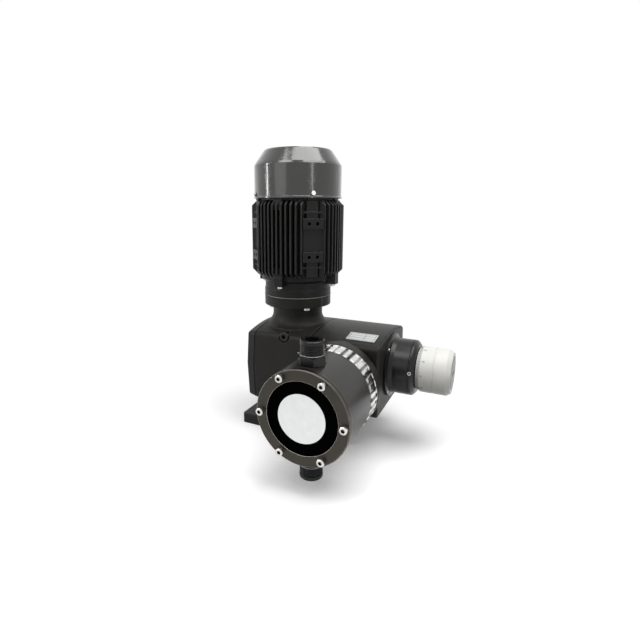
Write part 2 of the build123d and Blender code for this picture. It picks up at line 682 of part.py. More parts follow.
bearings = {
    "low": (MOTOR, LOW_BEARING_Z, LOW_BEARING),
    "top": (MOTOR, TOP_BEARING_Z, TOP_BEARING),
    "tail": (SHAFT, COVER_BOSS_END - tail_w, TAIL_BEARING),
    "middle": (SHAFT, GEARBOX_RIGHT - mid_w, MID_BEARING),
    "drive": (MOTOR, SHIELD_LOW + DRIVE_BEARING_DEPTH, DRIVE_BEARING),
    "rear": (MOTOR, FRAME_HIGH + 0.5, REAR_BEARING),
}

with BuildPart() as outer_bearing_rings:
    for axis, low, size in bearings.values():
        bearing_rings(axis, low, size, "outer")
save(outer_bearing_rings, "outer_bearing_rings")

with BuildPart() as rotor_bearing_rings:
    for name in ("low", "top", "drive", "rear"):
        bearing_rings(*bearings[name], "inner")
save(rotor_bearing_rings, "rotor_bearing_rings")

with BuildPart() as shaft_bearing_rings:
    for name in ("tail", "middle"):
        bearing_rings(*bearings[name], "inner")
save(shaft_bearing_rings, "shaft_bearing_rings")

THREAD_LOW = SHAFT_Z - WORM_LEAD / 4 - 2 * WORM_LEAD
THREAD_HIGH = THREAD_LOW + WORM_TURNS * WORM_LEAD
HUB_LOW = LOW_BEARING_Z + 0.5
SLEEVE_TOP = FLANGE_TOP - 3.0
SLEEVE_FLOOR = FLANGE_TOP + GASKET - SHAFT_LENGTH - 2.0
tooth_half = TOOTH_SHARE * WORM_LEAD / 2
flank = math.tan(math.radians(FLANK_DEG))


def tooth_corners(root, pitch, tip):
    """Half widths of a tooth or thread at its root, pitch and tip radii."""
    return [(r, tooth_half + (pitch - r) * flank) for r in (root, tip)]


with BuildPart() as worm:
    turn(
        MOTOR,
        [
            (0, HUB_LOW),
            (WORM_TAIL_R, HUB_LOW),
            (WORM_TAIL_R, HUB_LOW + LOW_BEARING[2]),
            (WORM_TAIL_R + 1.5, HUB_LOW + LOW_BEARING[2]),
            (WORM_TAIL_R + 1.5, THREAD_LOW - 5),
            (WORM_ROOT_R, THREAD_LOW - 3),
            (WORM_ROOT_R, THREAD_HIGH + 3),
            (WORM_SHAFT_R, THREAD_HIGH + 6),
            (WORM_SHAFT_R + 1.5, TOP_BEARING_Z - 8),
            (WORM_SHAFT_R + 1.5, TOP_BEARING_Z),
            (WORM_SHAFT_R, TOP_BEARING_Z),
            (WORM_SHAFT_R, TOP_BEARING_Z + TOP_BEARING[2] + SEAL_THICK),
            (WORM_SLEEVE_R, TOP_BEARING_Z + TOP_BEARING[2] + SEAL_THICK + 1),
            (WORM_SLEEVE_R, SLEEVE_TOP),
            (0, SLEEVE_TOP),
        ],
    )
    tube(MOTOR, SLEEVE_FLOOR, SLEEVE_TOP, SHAFT_MOTOR_R + RUN, mode=Mode.SUBTRACT)
    with BuildLine() as thread_line:
        thread = Helix(
            WORM_LEAD, THREAD_HIGH - THREAD_LOW, WORM_PITCH_R, center=(MOTOR_X, 0, THREAD_LOW)
        )
    thread_start = Plane(origin=thread @ 0, x_dir=(1, 0, 0), z_dir=thread % 0)
    with BuildSketch(thread_start) as thread_form:
        root, tip = tooth_corners(WORM_ROOT_R - 0.4, WORM_PITCH_R, WORM_TIP_R)
        with BuildLine():
            Polyline(
                (root[0] - WORM_PITCH_R, -root[1]),
                (tip[0] - WORM_PITCH_R, -tip[1]),
                (tip[0] - WORM_PITCH_R, tip[1]),
                (root[0] - WORM_PITCH_R, root[1]),
                close=True,
            )
        make_face()
    sweep(sections=thread_form.sketch, path=thread_line.line, is_frenet=True)
save(worm, "worm")

with BuildPart() as worm_seal:
    seal_low = TOP_BEARING_Z + top_w
    tube(MOTOR, seal_low, seal_low + SEAL_THICK, SEAL_R, WORM_SHAFT_R + 3)
    tube(MOTOR, seal_low + SEAL_THICK / 2, seal_low + SEAL_THICK, WORM_SHAFT_R + 4, WORM_SHAFT_R + SAFE)
save(worm_seal, "worm_seal")

# The wheel turns about the shaft. Its teeth lean by the thread's lead angle, and a gap
# faces the worm at rest, where a thread lies.
wheel_low = MOTOR_X - WHEEL_WIDTH / 2
lead_angle = math.atan(MODULE / (2 * WORM_PITCH_R))
tooth_step = 360 / TEETH
with BuildPart() as worm_wheel:
    tube(SHAFT, wheel_low, wheel_low + WHEEL_WIDTH, WHEEL_ROOT_R + 0.2)
    for turn_no in range(TEETH):
        angle = math.radians(180 + tooth_step * (turn_no + 0.5))
        away = Vector(0, math.cos(angle), math.sin(angle))
        onward = Vector(0, -math.sin(angle), math.cos(angle))
        along = Vector(1, 0, 0) * math.cos(lead_angle) + onward * math.sin(lead_angle)
        centre = Vector(MOTOR_X, WHEEL_Y, SHAFT_Z)
        tooth_plane = Plane(origin=centre, x_dir=away, z_dir=along)
        with BuildSketch(tooth_plane) as tooth:
            root, tip = tooth_corners(WHEEL_ROOT_R - 0.4, WHEEL_R, WHEEL_TIP_R)
            with BuildLine():
                Polyline(
                    (root[0], -root[1]),
                    (tip[0], -tip[1]),
                    (tip[0], tip[1]),
                    (root[0], root[1]),
                    close=True,
                )
            make_face()
        extrude(tooth.sketch, amount=WHEEL_WIDTH / 2, both=True)
    middle = MOTOR_X - WHEEL_HUB_WIDTH / 2
    tube(SHAFT, middle, middle + WHEEL_HUB_WIDTH, WHEEL_HUB_R)
    tube(SHAFT, middle, middle + WHEEL_HUB_WIDTH, SHAFT_R, mode=Mode.SUBTRACT)
save(worm_wheel, "worm_wheel")

ecc_axis = Plane(origin=(0, WHEEL_Y + ECC_THROW, SHAFT_Z), x_dir=(0, 1, 0), z_dir=(1, 0, 0))
ecc_low = ECC_X - ECC_WIDTH / 2
with BuildPart() as eccentric_shaft:
    tube(SHAFT, COVER_BOSS_END - tail_w - 2, COVER_BOSS_END, SHAFT_TAIL_R)
    tube(SHAFT, COVER_BOSS_END, ecc_low + ECC_WIDTH, SHAFT_R)
    tube(ecc_axis, ecc_low, ecc_low + ECC_WIDTH, ECC_R)
    tube(ecc_axis, ecc_low - 3, ecc_low, ECC_R + 2)
    tube(SHAFT, MOTOR_X + WHEEL_HUB_WIDTH / 2, GEARBOX_RIGHT - mid_w, SHAFT_R + 2)
save(eccentric_shaft, "eccentric_shaft")

with BuildPart() as eccentric_ring:
    tube(ecc_axis, ecc_low, ecc_low + ECC_WIDTH, ECC_RING_R, ECC_R)
save(eccentric_ring, "eccentric_ring")

# ---- pushrod, spring and diaphragm -------------------------------------------------

back = -FOLLOWER_BACK
disc_back = HEAD_BACK + DIAPHRAGM_THICK + DISC_THICK
with BuildPart() as pushrod:
    tube(HEAD, back + 2, -disc_back, ROD_R)
    tube(HEAD, -disc_back, -HEAD_BACK + 4, ROD_R / 2)
    tube(HEAD, -(COLLAR_FRONT + SPRING_COLLAR_THICK), -COLLAR_FRONT, SPRING_COLLAR_R)
    block(
        (HEAD_X - FOLLOWER_LEFT, HEAD_X + FOLLOWER_RIGHT),
        (FOLLOWER_BACK - FOLLOWER_THICK, FOLLOWER_BACK),
        (HEAD_Z - FOLLOWER_HEIGHT / 2, HEAD_Z + FOLLOWER_HEIGHT / 2),
    )
    block(
        (HEAD_X, STOP_RIGHT),
        (STOP_FACE - STOP_THICK, STOP_FACE),
        (KNOB_Z - STOP_HEIGHT / 2, KNOB_Z + STOP_HEIGHT / 2),
    )
save(pushrod, "pushrod")

with BuildPart() as guide_bush:
    tube(HEAD, BOSS_FRONT - BUSH_LENGTH, BOSS_FRONT - 8, BUSH_R, ROD_R + RUN)
    tube(HEAD, BOSS_FRONT - BUSH_LENGTH, BOSS_FRONT - BUSH_LENGTH + BUSH_FLANGE, BUSH_FLANGE_R, ROD_R + RUN)
save(guide_bush, "guide_bush")

spring_low = -COLLAR_FRONT + SPRING_WIRE_R + 0.05
spring_high = BOSS_FRONT - BUSH_LENGTH - SPRING_WIRE_R - 0.05
with BuildPart() as return_spring:
    with BuildLine() as coil_line:
        coil = Helix(
            (spring_high - spring_low) / SPRING_TURNS,
            spring_high - spring_low,
            SPRING_MEAN_R,
            center=(HEAD_X, -spring_low, HEAD_Z),
            direction=(0, -1, 0),
        )
    with BuildSketch(Plane(origin=coil @ 0, z_dir=coil % 0)) as wire:
        Circle(SPRING_WIRE_R)
    sweep(sections=wire.sketch, path=coil_line.line, is_frenet=True)
save(return_spring, "return_spring")

with BuildPart() as diaphragm:
    tube(HEAD, -DIAPHRAGM_BACK, -HEAD_BACK, DIAPHRAGM_R, ROD_R / 2)
    ridge = (CHAMBER_R + DISC_R) / 2
    turn(
        HEAD,
        [
            (ridge - 3, -HEAD_BACK - 0.5),
            (ridge - 1.5, -HEAD_BACK + 1.5),
            (ridge + 1.5, -HEAD_BACK + 1.5),
            (ridge + 3, -HEAD_BACK - 0.5),
        ],
    )
save(diaphragm, "diaphragm")

with BuildPart() as clamp_discs:
    tube(HEAD, -disc_back, -DIAPHRAGM_BACK, DISC_R, ROD_R / 2)
    turn(
        HEAD,
        [
            (ROD_R / 2, -HEAD_BACK),
            (DISC_R - 4, -HEAD_BACK),
            (DISC_R - 6, -HEAD_BACK + 3),
            (ROD_R / 2, -HEAD_BACK + 4),
        ],
    )
save(clamp_discs, "clamp_discs")

# ---- pump head ---------------------------------------------------------------------


def head_holes(low, high):
    """The clear holes for the head's screws."""
    polar_rods(
        HEAD, low, high, HEAD_SCREW_R + SCREW_GAP, HEAD_SCREW_CIRCLE, HEAD_SCREWS, 0, Mode.SUBTRACT
    )


with BuildPart() as mounting_ring:
    tube(HEAD, -RING_BACK, -SPACER_BACK, RING_R, SPACER_BORE_R)
    rim = mounting_ring.edges().filter_by(GeomType.CIRCLE).group_by(SortBy.RADIUS)[-1]
    chamfer(rim, length=1.0)
    polar_rods(
        HEAD, -RING_BACK + 5, -SPACER_BACK, HEAD_SCREW_R, HEAD_SCREW_CIRCLE, HEAD_SCREWS, 0, Mode.SUBTRACT
    )
    polar_rods(
        HEAD, -RING_BACK, -SPACER_BACK, HEAD_SCREW_R + SCREW_GAP, MOUNT_SCREW_CIRCLE, 4, 45, Mode.SUBTRACT
    )
    head_room = MOUNT_HEAD_R + 2 * SCREW_GAP
    polar_rods(HEAD, -RING_BACK + 8, -SPACER_BACK, head_room, MOUNT_SCREW_CIRCLE, 4, 45, Mode.SUBTRACT)
save(mounting_ring, "mounting_ring")

with BuildPart() as mounting_screws:
    for number in range(4):
        axis = spot(HEAD, MOUNT_SCREW_CIRCLE, 45 + 90 * number)
        high = BOSS_FRONT + 8 + MOUNT_HEAD_H
        screw(axis, BOSS_FRONT - 10, high, HEAD_SCREW_R, MOUNT_HEAD_R, MOUNT_HEAD_H, HEAD_HEX_R)
save(mounting_screws, "mounting_screws")

with BuildPart() as spacer_ring:
    with BuildSketch(HEAD.offset(-SPACER_BACK)) as rim_low:
        Circle(RING_R - 0.5)
        Circle(SPACER_BORE_R, mode=Mode.SUBTRACT)
    extrude(rim_low.sketch, amount=SPACER_RIM)
    with BuildSketch(HEAD.offset(-SPACER_BACK + SPACER_RIM)) as facets:
        RegularPolygon(RING_R - 1.0, SPACER_FLATS)
        Circle(SPACER_BORE_R, mode=Mode.SUBTRACT)
    extrude(facets.sketch, amount=SPACER_DEPTH - 2 * SPACER_RIM)
    with BuildSketch(HEAD.offset(-DIAPHRAGM_BACK - SPACER_RIM)) as rim_high:
        Circle(HEAD_R + 0.4)
        Circle(SPACER_BORE_R, mode=Mode.SUBTRACT)
    extrude(rim_high.sketch, amount=SPACER_RIM)
    head_holes(-SPACER_BACK, -DIAPHRAGM_BACK)
save(spacer_ring, "spacer_ring")

NUT_LOW = HEAD_R - 2.0
PLUG_END = NUT_LOW - VALVE_PLUG_DEPTH
with BuildPart() as pump_head:
    tube(HEAD, -HEAD_BACK, -PLATE_BACK, HEAD_R)
    # the ring that clamps the diaphragm's rim
    tube(HEAD, -DIAPHRAGM_BACK, -HEAD_BACK, HEAD_R, DIAPHRAGM_R)
    turn(
        HEAD,
        [
            (0, -HEAD_BACK),
            (CHAMBER_R, -HEAD_BACK),
            (CHAMBER_R - 6, -HEAD_BACK + CHAMBER_DEPTH),
            (0, -HEAD_BACK + CHAMBER_DEPTH),
        ],
        mode=Mode.SUBTRACT,
    )
    tube(HEAD, -HEAD_BACK, -VALVE_Y + PASSAGE_R, PASSAGE_R, mode=Mode.SUBTRACT)
    for axis in (UP_VALVE, DOWN_VALVE):
        tube(axis, 0, NUT_LOW, PASSAGE_R, mode=Mode.SUBTRACT)
        tube(axis, PLUG_END, HEAD_R + 4, VALVE_PLUG_R, mode=Mode.SUBTRACT)
        tube(axis, NUT_LOW, HEAD_R + 4, VALVE_NUT_R + SAFE, mode=Mode.SUBTRACT)
    head_holes(-DIAPHRAGM_BACK, -PLATE_BACK)
save(pump_head, "pump_head")

with BuildPart() as front_ring:
    tube(HEAD, -PLATE_BACK, -PLATE_FRONT, FRONT_RING_R)
    rim = front_ring.edges().filter_by(GeomType.CIRCLE).group_by(Axis.Y)[0]
    chamfer(rim, length=0.8)
    tube(HEAD, -PLATE_FRONT - 3, -PLATE_FRONT, WINDOW_R, mode=Mode.SUBTRACT)
    head_holes(-PLATE_BACK, -PLATE_FRONT)
save(front_ring, "front_ring")

with BuildPart() as cover_disc:
    tube(HEAD, -PLATE_FRONT - 3, -PLATE_FRONT - DISC_RECESS, WINDOW_R)
save(cover_disc, "cover_disc")

with BuildPart() as blank_label:
    tube(HEAD, -PLATE_FRONT - DISC_RECESS, -PLATE_FRONT - DISC_RECESS + LABEL_THICK, LABEL_R)
save(blank_label, "blank_label")

with BuildPart() as head_screws:
    for number in range(HEAD_SCREWS):
        axis = spot(HEAD, HEAD_SCREW_CIRCLE, 360 / HEAD_SCREWS * number)
        high = -PLATE_FRONT + HEAD_CAP_H
        screw(axis, -RING_BACK + 6, high, HEAD_SCREW_R, HEAD_CAP_R, HEAD_CAP_H, HEAD_HEX_R)
save(head_screws, "head_screws")

# ---- valves ------------------------------------------------------------------------

NUT_HIGH = NUT_LOW + VALVE_NUT_H
thread_rings = int((VALVE_REACH - VALVE_COLLAR_H - NUT_HIGH - 1) / THREAD_PITCH)


def valve_outline(axis):
    """A valve's outside: plug, ribbed nut and threaded neck."""
    tube(axis, PLUG_END, NUT_LOW + 1, VALVE_PLUG_R)
    with BuildSketch(axis.offset(NUT_LOW)) as nut:
        RegularPolygon(VALVE_NUT_R, 6)
    extrude(nut.sketch, amount=VALVE_NUT_H - 2)
    tube(axis, NUT_LOW, NUT_HIGH, VALVE_NUT_R * math.cos(math.pi / 6))
    tube(axis, NUT_HIGH, VALVE_REACH, VALVE_THREAD_R - 0.9)
    turn(
        axis,
        [
            (VALVE_THREAD_R - VALVE_THREAD_DEPTH, VALVE_REACH - VALVE_COLLAR_H),
            (VALVE_COLLAR_R, VALVE_REACH - VALVE_COLLAR_H),
            (VALVE_COLLAR_R, VALVE_REACH - 1),
            (VALVE_COLLAR_R - 1, VALVE_REACH),
            (VALVE_THREAD_R - VALVE_THREAD_DEPTH, VALVE_REACH),
        ],
    )
    for ring in range(thread_rings):
        low = NUT_HIGH + 1 + ring * THREAD_PITCH
        turn(
            axis,
            [
                (VALVE_THREAD_R - VALVE_THREAD_DEPTH, low),
                (VALVE_THREAD_R, low + 0.6),
                (VALVE_THREAD_R, low + 1.0),
                (VALVE_THREAD_R - VALVE_THREAD_DEPTH, low + 1.6),
            ],
        )


def ball_room(axis, seat, lift_dir):
    """The seat's hole, the ball's room and the cage ring that stops the ball."""
    ball = seat + lift_dir * math.sqrt(BALL_R**2 - SEAT_R**2)
    top = ball + lift_dir * (BALL_LIFT + BALL_R + SAFE)
    tube(axis, min(seat, top), max(seat, top), BALL_R + BALL_CAGE_GAP, mode=Mode.SUBTRACT)
    return ball, top


SEAT_HIGH = PLUG_END + 5.0
SEAT_LOW = NUT_HIGH - 2.0
with BuildPart() as discharge_valve:
    valve_outline(UP_VALVE)
    tube(UP_VALVE, PLUG_END, SEAT_HIGH, SEAT_R, mode=Mode.SUBTRACT)
    high_ball, high_stop = ball_room(UP_VALVE, SEAT_HIGH, 1)
    tube(UP_VALVE, high_stop, high_stop + 2, SEAT_R, mode=Mode.SUBTRACT)
    tube(UP_VALVE, high_stop + 2, VALVE_REACH, VALVE_BORE_R, mode=Mode.SUBTRACT)
save(discharge_valve, "discharge_valve")

with BuildPart() as suction_valve:
    valve_outline(DOWN_VALVE)
    tube(DOWN_VALVE, SEAT_LOW, SEAT_LOW + 4, SEAT_R, mode=Mode.SUBTRACT)
    tube(DOWN_VALVE, SEAT_LOW + 4, VALVE_REACH, VALVE_BORE_R, mode=Mode.SUBTRACT)
    low_ball, low_stop = ball_room(DOWN_VALVE, SEAT_LOW, -1)
    tube(DOWN_VALVE, PLUG_END, low_stop, SEAT_R, mode=Mode.SUBTRACT)
save(suction_valve, "suction_valve")

for label, z in (("discharge_ball", HEAD_Z + high_ball + SAFE), ("suction_ball", HEAD_Z - low_ball + SAFE)):
    with BuildPart() as ball:
        with Locations((HEAD_X, VALVE_Y, z)):
            Sphere(BALL_R)
    save(ball, label)

# ---- stroke knob -------------------------------------------------------------------

lock_lean = math.radians(LOCK_LEAN_DEG)
lock_axis = Plane(
    origin=(SLEEVE_GROOVE_X, 0, KNOB_Z),
    x_dir=(1, 0, 0),
    z_dir=(0, -math.cos(lock_lean), -math.sin(lock_lean)),
)
with BuildPart() as index_sleeve:
    turn(
        KNOB,
        [
            (SLEEVE_R - SLEEVE_WALL, ADJUSTER_RIGHT),
            (SLEEVE_FLANGE_R, ADJUSTER_RIGHT),
            (SLEEVE_FLANGE_R, ADJUSTER_RIGHT + SLEEVE_FLANGE),
            (SLEEVE_R + 1.0, ADJUSTER_RIGHT + SLEEVE_FLANGE + 2),
            (SLEEVE_R, ADJUSTER_RIGHT + SLEEVE_FLANGE + 8),
            (SLEEVE_R, SLEEVE_GROOVE_X - 3),
            (SLEEVE_R - 1.2, SLEEVE_GROOVE_X - 2.6),
            (SLEEVE_R - 1.2, SLEEVE_GROOVE_X - 1.4),
            (SLEEVE_R, SLEEVE_GROOVE_X - 1),
            (SLEEVE_R - 0.5, SLEEVE_END - 4),
            (SLEEVE_R - 5, SLEEVE_END),
            (SPINDLE_R + 5, SLEEVE_END),
            (SPINDLE_R + 5, SLEEVE_END - SLEEVE_WEB),
            (SLEEVE_R - SLEEVE_WALL, SLEEVE_END - SLEEVE_WEB),
        ],
    )
    # the nut that the spindle's thread runs in
    tube(KNOB, CONE_STEM_END + 6, SLEEVE_END - 1, SPINDLE_R + 6, SPINDLE_R + SAFE)
    tube(lock_axis, SPINDLE_R + 2, SLEEVE_R + 5, LOCK_SCREW_R, mode=Mode.SUBTRACT)
    under_head = ADJUSTER_RIGHT + SLEEVE_FLANGE
    over_head = under_head + 2 * SLEEVE_SCREW_R
    for hole in sleeve_screw_spots:
        tube(hole, ADJUSTER_RIGHT, under_head, SLEEVE_SCREW_R + SCREW_GAP, mode=Mode.SUBTRACT)
        tube(hole, under_head, over_head, SLEEVE_SCREW_HEAD_R + SCREW_GAP, mode=Mode.SUBTRACT)
save(index_sleeve, "index_sleeve")

with BuildPart() as sleeve_screws:
    low = ADJUSTER_RIGHT - SLEEVE_SCREW_DEPTH + 0.5
    high = under_head + SLEEVE_SCREW_R
    for hole in sleeve_screw_spots:
        screw(hole, low, high, SLEEVE_SCREW_R, SLEEVE_SCREW_HEAD_R, SLEEVE_SCREW_R)
save(sleeve_screws, "sleeve_screws")

with BuildPart() as lock_screw:
    tube(lock_axis, SPINDLE_R + 3, SLEEVE_R + 1.0, LOCK_SCREW_R)
    with BuildSketch(lock_axis.offset(SLEEVE_R + 1.0)) as socket:
        RegularPolygon(1.5, 6)
    extrude(socket.sketch, amount=-2, mode=Mode.SUBTRACT)
save(lock_screw, "lock_screw")

with BuildPart() as stop_cone:
    turn(
        KNOB,
        [
            (0, CONE_TIP_X),
            (CONE_TIP_R, CONE_TIP_X),
            (CONE_R, CONE_TIP_X + KNOB_TRAVEL),
            (CONE_R, CONE_STEM_END - KNOB_TRAVEL),
            (SPINDLE_R + SAFE, CONE_STEM_END - KNOB_TRAVEL),
            (SPINDLE_R + SAFE, BORE_X),
            (0, BORE_X),
        ],
    )
save(stop_cone, "stop_cone")

with BuildPart() as spindle:
    tube(KNOB, BORE_X + SAFE, KNOB_LEFT + 4, SPINDLE_R)
    tube(KNOB, KNOB_LEFT + 4, KNOB_RIGHT - CAP_THICK - 4, SPINDLE_R - 2)
save(spindle, "spindle")

with BuildPart() as knob:
    turn(
        KNOB,
        [
            (SPINDLE_R - 2, KNOB_LEFT + 4),
            (SPINDLE_R + 4, KNOB_LEFT + 4),
            (SPINDLE_R + 4, KNOB_LEFT + 12),
            (KNOB_R - KNOB_WALL - 3, KNOB_LEFT + 12),
            (KNOB_R - KNOB_WALL - 3, KNOB_LEFT),
            (KNOB_R - 3, KNOB_LEFT),
            (KNOB_R - 2.6, KNOB_LEFT + 2),
            (KNOB_R, KNOB_LEFT + KNOB_BEVEL),
            (KNOB_R, KNOB_LEFT + KNOB_SKIRT - 1),
            (KNOB_R - 0.8, KNOB_LEFT + KNOB_SKIRT - 0.6),
            (KNOB_R - 0.8, KNOB_LEFT + KNOB_SKIRT + 0.6),
            (KNOB_R, KNOB_LEFT + KNOB_SKIRT + 1),
            (KNOB_R, KNOB_RIGHT - KNOB_BEVEL),
            (KNOB_END_R, KNOB_RIGHT),
            (CAP_R, KNOB_RIGHT),
            (CAP_R, KNOB_RIGHT - CAP_THICK),
            (SPINDLE_R - 2, KNOB_RIGHT - CAP_THICK),
        ],
    )
save(knob, "knob")

with BuildPart() as knob_cap:
    turn(
        KNOB,
        [
            (0, KNOB_RIGHT - CAP_THICK),
            (CAP_R, KNOB_RIGHT - CAP_THICK),
            (CAP_R, KNOB_RIGHT - 0.5),
            (CAP_R - 1.5, KNOB_RIGHT + 0.6),
            (0, KNOB_RIGHT + 0.6),
        ],
    )
    with BuildSketch(KNOB.offset(KNOB_RIGHT + 0.6)) as slot:
        SlotOverall(CAP_R * 0.9, 5.0)
    extrude(slot.sketch, amount=-2, mode=Mode.SUBTRACT)
save(knob_cap, "knob_cap")

# ---- motor -------------------------------------------------------------------------

with BuildPart() as flange_gasket:
    tube(MOTOR, FLANGE_TOP, SHIELD_LOW, FLANGE_R + 0.4, SPIGOT_R)
    polar_rods(
        MOTOR, FLANGE_TOP, SHIELD_LOW, MOTOR_SCREW_R + SCREW_GAP, MOTOR_BOLT_R, 4, 45, Mode.SUBTRACT
    )
save(flange_gasket, "flange_gasket")

with BuildPart() as motor_screws:
    for number in range(4):
        seat = spot(MOTOR, MOTOR_BOLT_R, 45 + 90 * number).offset(FLANGE_LOW)
        axis = Plane(origin=seat.origin, x_dir=(1, 0, 0), z_dir=(0, 0, -1))
        screw(axis, -FLANGE_THICK - GASKET - 8, 5.0, MOTOR_SCREW_R, 4.8, 5.0, 2.6)
save(motor_screws, "motor_screws")


def outward(degrees):
    """The plane through the motor's axis that faces out at an angle, with up as its Y."""
    lean = math.radians(degrees)
    return Plane(
        origin=(MOTOR_X, 0, 0),
        x_dir=(-math.sin(lean), math.cos(lean), 0),
        z_dir=(math.cos(lean), math.sin(lean), 0),
    )


tie_spots = [spot(MOTOR, TIE_R, 90 * number) for number in range(4)]
drive_in, drive_out, drive_w = DRIVE_BEARING
drive_low = SHIELD_LOW + DRIVE_BEARING_DEPTH
with BuildPart() as drive_end_shield:
    turn(
        MOTOR,
        [
            (SHAFT_CORE_R, SHIELD_LOW),
            (SPIGOT_R - 4, SHIELD_LOW),
            (SPIGOT_R - 4, SHIELD_LOW - SPIGOT_H),
            (SPIGOT_R, SHIELD_LOW - SPIGOT_H),
            (SPIGOT_R, SHIELD_LOW),
            (FLANGE_R, SHIELD_LOW),
            (FLANGE_R, SHIELD_LOW + SHIELD_FLANGE),
            (SHIELD_BARREL_R, SHIELD_LOW + SHIELD_FLANGE + 1.5),
            (SHIELD_BARREL_R, SHIELD_NECK_Z - 4),
            (FRAME_WALL_R, SHIELD_NECK_Z),
            (FRAME_WALL_R, FRAME_LOW),
            (FRAME_BORE_R, FRAME_LOW),
            (FRAME_BORE_R, FRAME_LOW + 3),
            (FRAME_BORE_R - 3, FRAME_LOW + 3),
            (FRAME_BORE_R - 6, SHIELD_NECK_Z),
            (FRAME_BORE_R - 8, drive_low + drive_w + 4),
            (drive_in + 6, drive_low + drive_w + 4),
            (drive_in + 6, drive_low + drive_w),
            (drive_out, drive_low + drive_w),
            (drive_out, drive_low),
            (SHAFT_CORE_R, drive_low),
        ],
    )
    for number in range(4):
        with BuildSketch(outward(90 * number).offset(SHIELD_BARREL_R - 1)) as lug:
            with Locations((0, (SHIELD_NECK_Z - TIE_LUG_DROP + FRAME_LOW) / 2)):
                Rectangle(TIE_LUG_WIDTH, FRAME_LOW - SHIELD_NECK_Z + TIE_LUG_DROP)
        extrude(lug.sketch, amount=TIE_LUG_REACH - SHIELD_BARREL_R + 1)
    tube(MOTOR, FRAME_LOW, FRAME_LOW + 1, FIN_R + 1, FRAME_BORE_R, mode=Mode.SUBTRACT)
    polar_rods(
        MOTOR, SHIELD_LOW, SHIELD_LOW + SHIELD_FLANGE, MOTOR_SCREW_R, MOTOR_BOLT_R, 4, 45, Mode.SUBTRACT
    )
    low_lug = SHIELD_NECK_Z - TIE_LUG_DROP
    polar_rods(MOTOR, low_lug, FRAME_LOW, TIE_SCREW_R + SCREW_GAP, TIE_R, 4, 0, Mode.SUBTRACT)
save(drive_end_shield, "drive_end_shield")

fin_offsets = [FIN_PITCH * step for step in range(-FINS_EACH_SIDE, FINS_EACH_SIDE + 1)]
fin_reaches = [math.sqrt(FIN_R**2 - offset**2) for offset in fin_offsets]
frame_height = FRAME_HIGH - FRAME_LOW


def tie_lugs(low, high):
    """The four square lugs that the tie screws go through."""
    for number in range(4):
        with BuildSketch(outward(90 * number).offset(FRAME_BORE_R + 2)) as lug:
            with Locations((0, (low + high) / 2)):
                Rectangle(TIE_LUG_WIDTH, high - low)
        extrude(lug.sketch, amount=TIE_LUG_REACH - FRAME_BORE_R - 2)


with BuildPart() as motor_frame:
    tube(MOTOR, FRAME_LOW, FRAME_HIGH, FRAME_WALL_R)
    with BuildSketch(MOTOR.offset(FRAME_LOW)) as fins:
        for quarter in range(4):
            with Locations(Location((0, 0, 0), (0, 0, 90 * quarter))):
                for offset, reach in zip(fin_offsets, fin_reaches):
                    with Locations((reach / 2 + 10, offset)):
                        Rectangle(reach - 20, FIN_THICK)
    extrude(fins.sketch, amount=frame_height)
    # a flat at each corner, with a rib and two pads for feet or a terminal box
    over_pads = PAD_HIGH_Z + PAD_HEIGHT
    under_pads = PAD_LOW_Z - PAD_HEIGHT
    for corner in range(4):
        face = outward(45 + 90 * corner)
        shapes = (
            (CORNER_WIDTH, FRAME_LOW, FRAME_HIGH, CORNER_REACH),
            (PAD_NECK_WIDTH, FRAME_LOW, FRAME_HIGH, PAD_RIB_REACH),
            (PAD_RIB_WIDTH, PAD_LOW_Z, PAD_HIGH_Z, PAD_RIB_REACH),
            (PAD_WIDTH, PAD_LOW_Z - PAD_HEIGHT / 2, PAD_LOW_Z + PAD_HEIGHT / 2, PAD_REACH),
            (PAD_WIDTH, PAD_HIGH_Z - PAD_HEIGHT / 2, PAD_HIGH_Z + PAD_HEIGHT / 2, PAD_REACH),
            (PAD_WIDTH, over_pads, over_pads + PAD_LIP, PAD_RIB_REACH + PAD_LIP / 2),
            (PAD_WIDTH, under_pads - PAD_LIP, under_pads, PAD_RIB_REACH + PAD_LIP / 2),
        )
        for width, low, high, reach in shapes:
            with BuildSketch(face) as raised:
                with Locations((0, (low + high) / 2)):
                    Rectangle(width, high - low)
            extrude(raised.sketch, amount=reach)
        with BuildSketch(face.offset(PAD_REACH)) as holes:
            for z in (PAD_LOW_Z, PAD_HIGH_Z):
                with Locations((-PAD_HOLE_SPAN / 2, z), (PAD_HOLE_SPAN / 2, z)):
                    Circle(PAD_HOLE_R)
        extrude(holes.sketch, amount=-PAD_HOLE_DEPTH, mode=Mode.SUBTRACT)
    # bevelled fin ends
    for end, inward in ((FRAME_LOW, 1), (FRAME_HIGH, -1)):
        turn(
            MOTOR,
            [
                (FIN_R - FIN_BEVEL + 1, end - inward),
                (FIN_R - FIN_BEVEL + 1, end),
                (FIN_R + 1, end + inward * FIN_BEVEL),
                (FIN_R + 9, end + inward * FIN_BEVEL),
                (FIN_R + 9, end - inward),
            ],
            mode=Mode.SUBTRACT,
        )
    tie_lugs(FRAME_LOW, FRAME_LOW + TIE_LUG_HEIGHT)
    tie_lugs(FRAME_HIGH - TIE_LUG_HEIGHT, FRAME_HIGH)
    tube(MOTOR, FRAME_LOW, FRAME_HIGH, FRAME_BORE_R, mode=Mode.SUBTRACT)
    polar_rods(MOTOR, FRAME_LOW, FRAME_HIGH, TIE_SCREW_R, TIE_R, 4, 0, Mode.SUBTRACT)
save(motor_frame, "motor_frame")

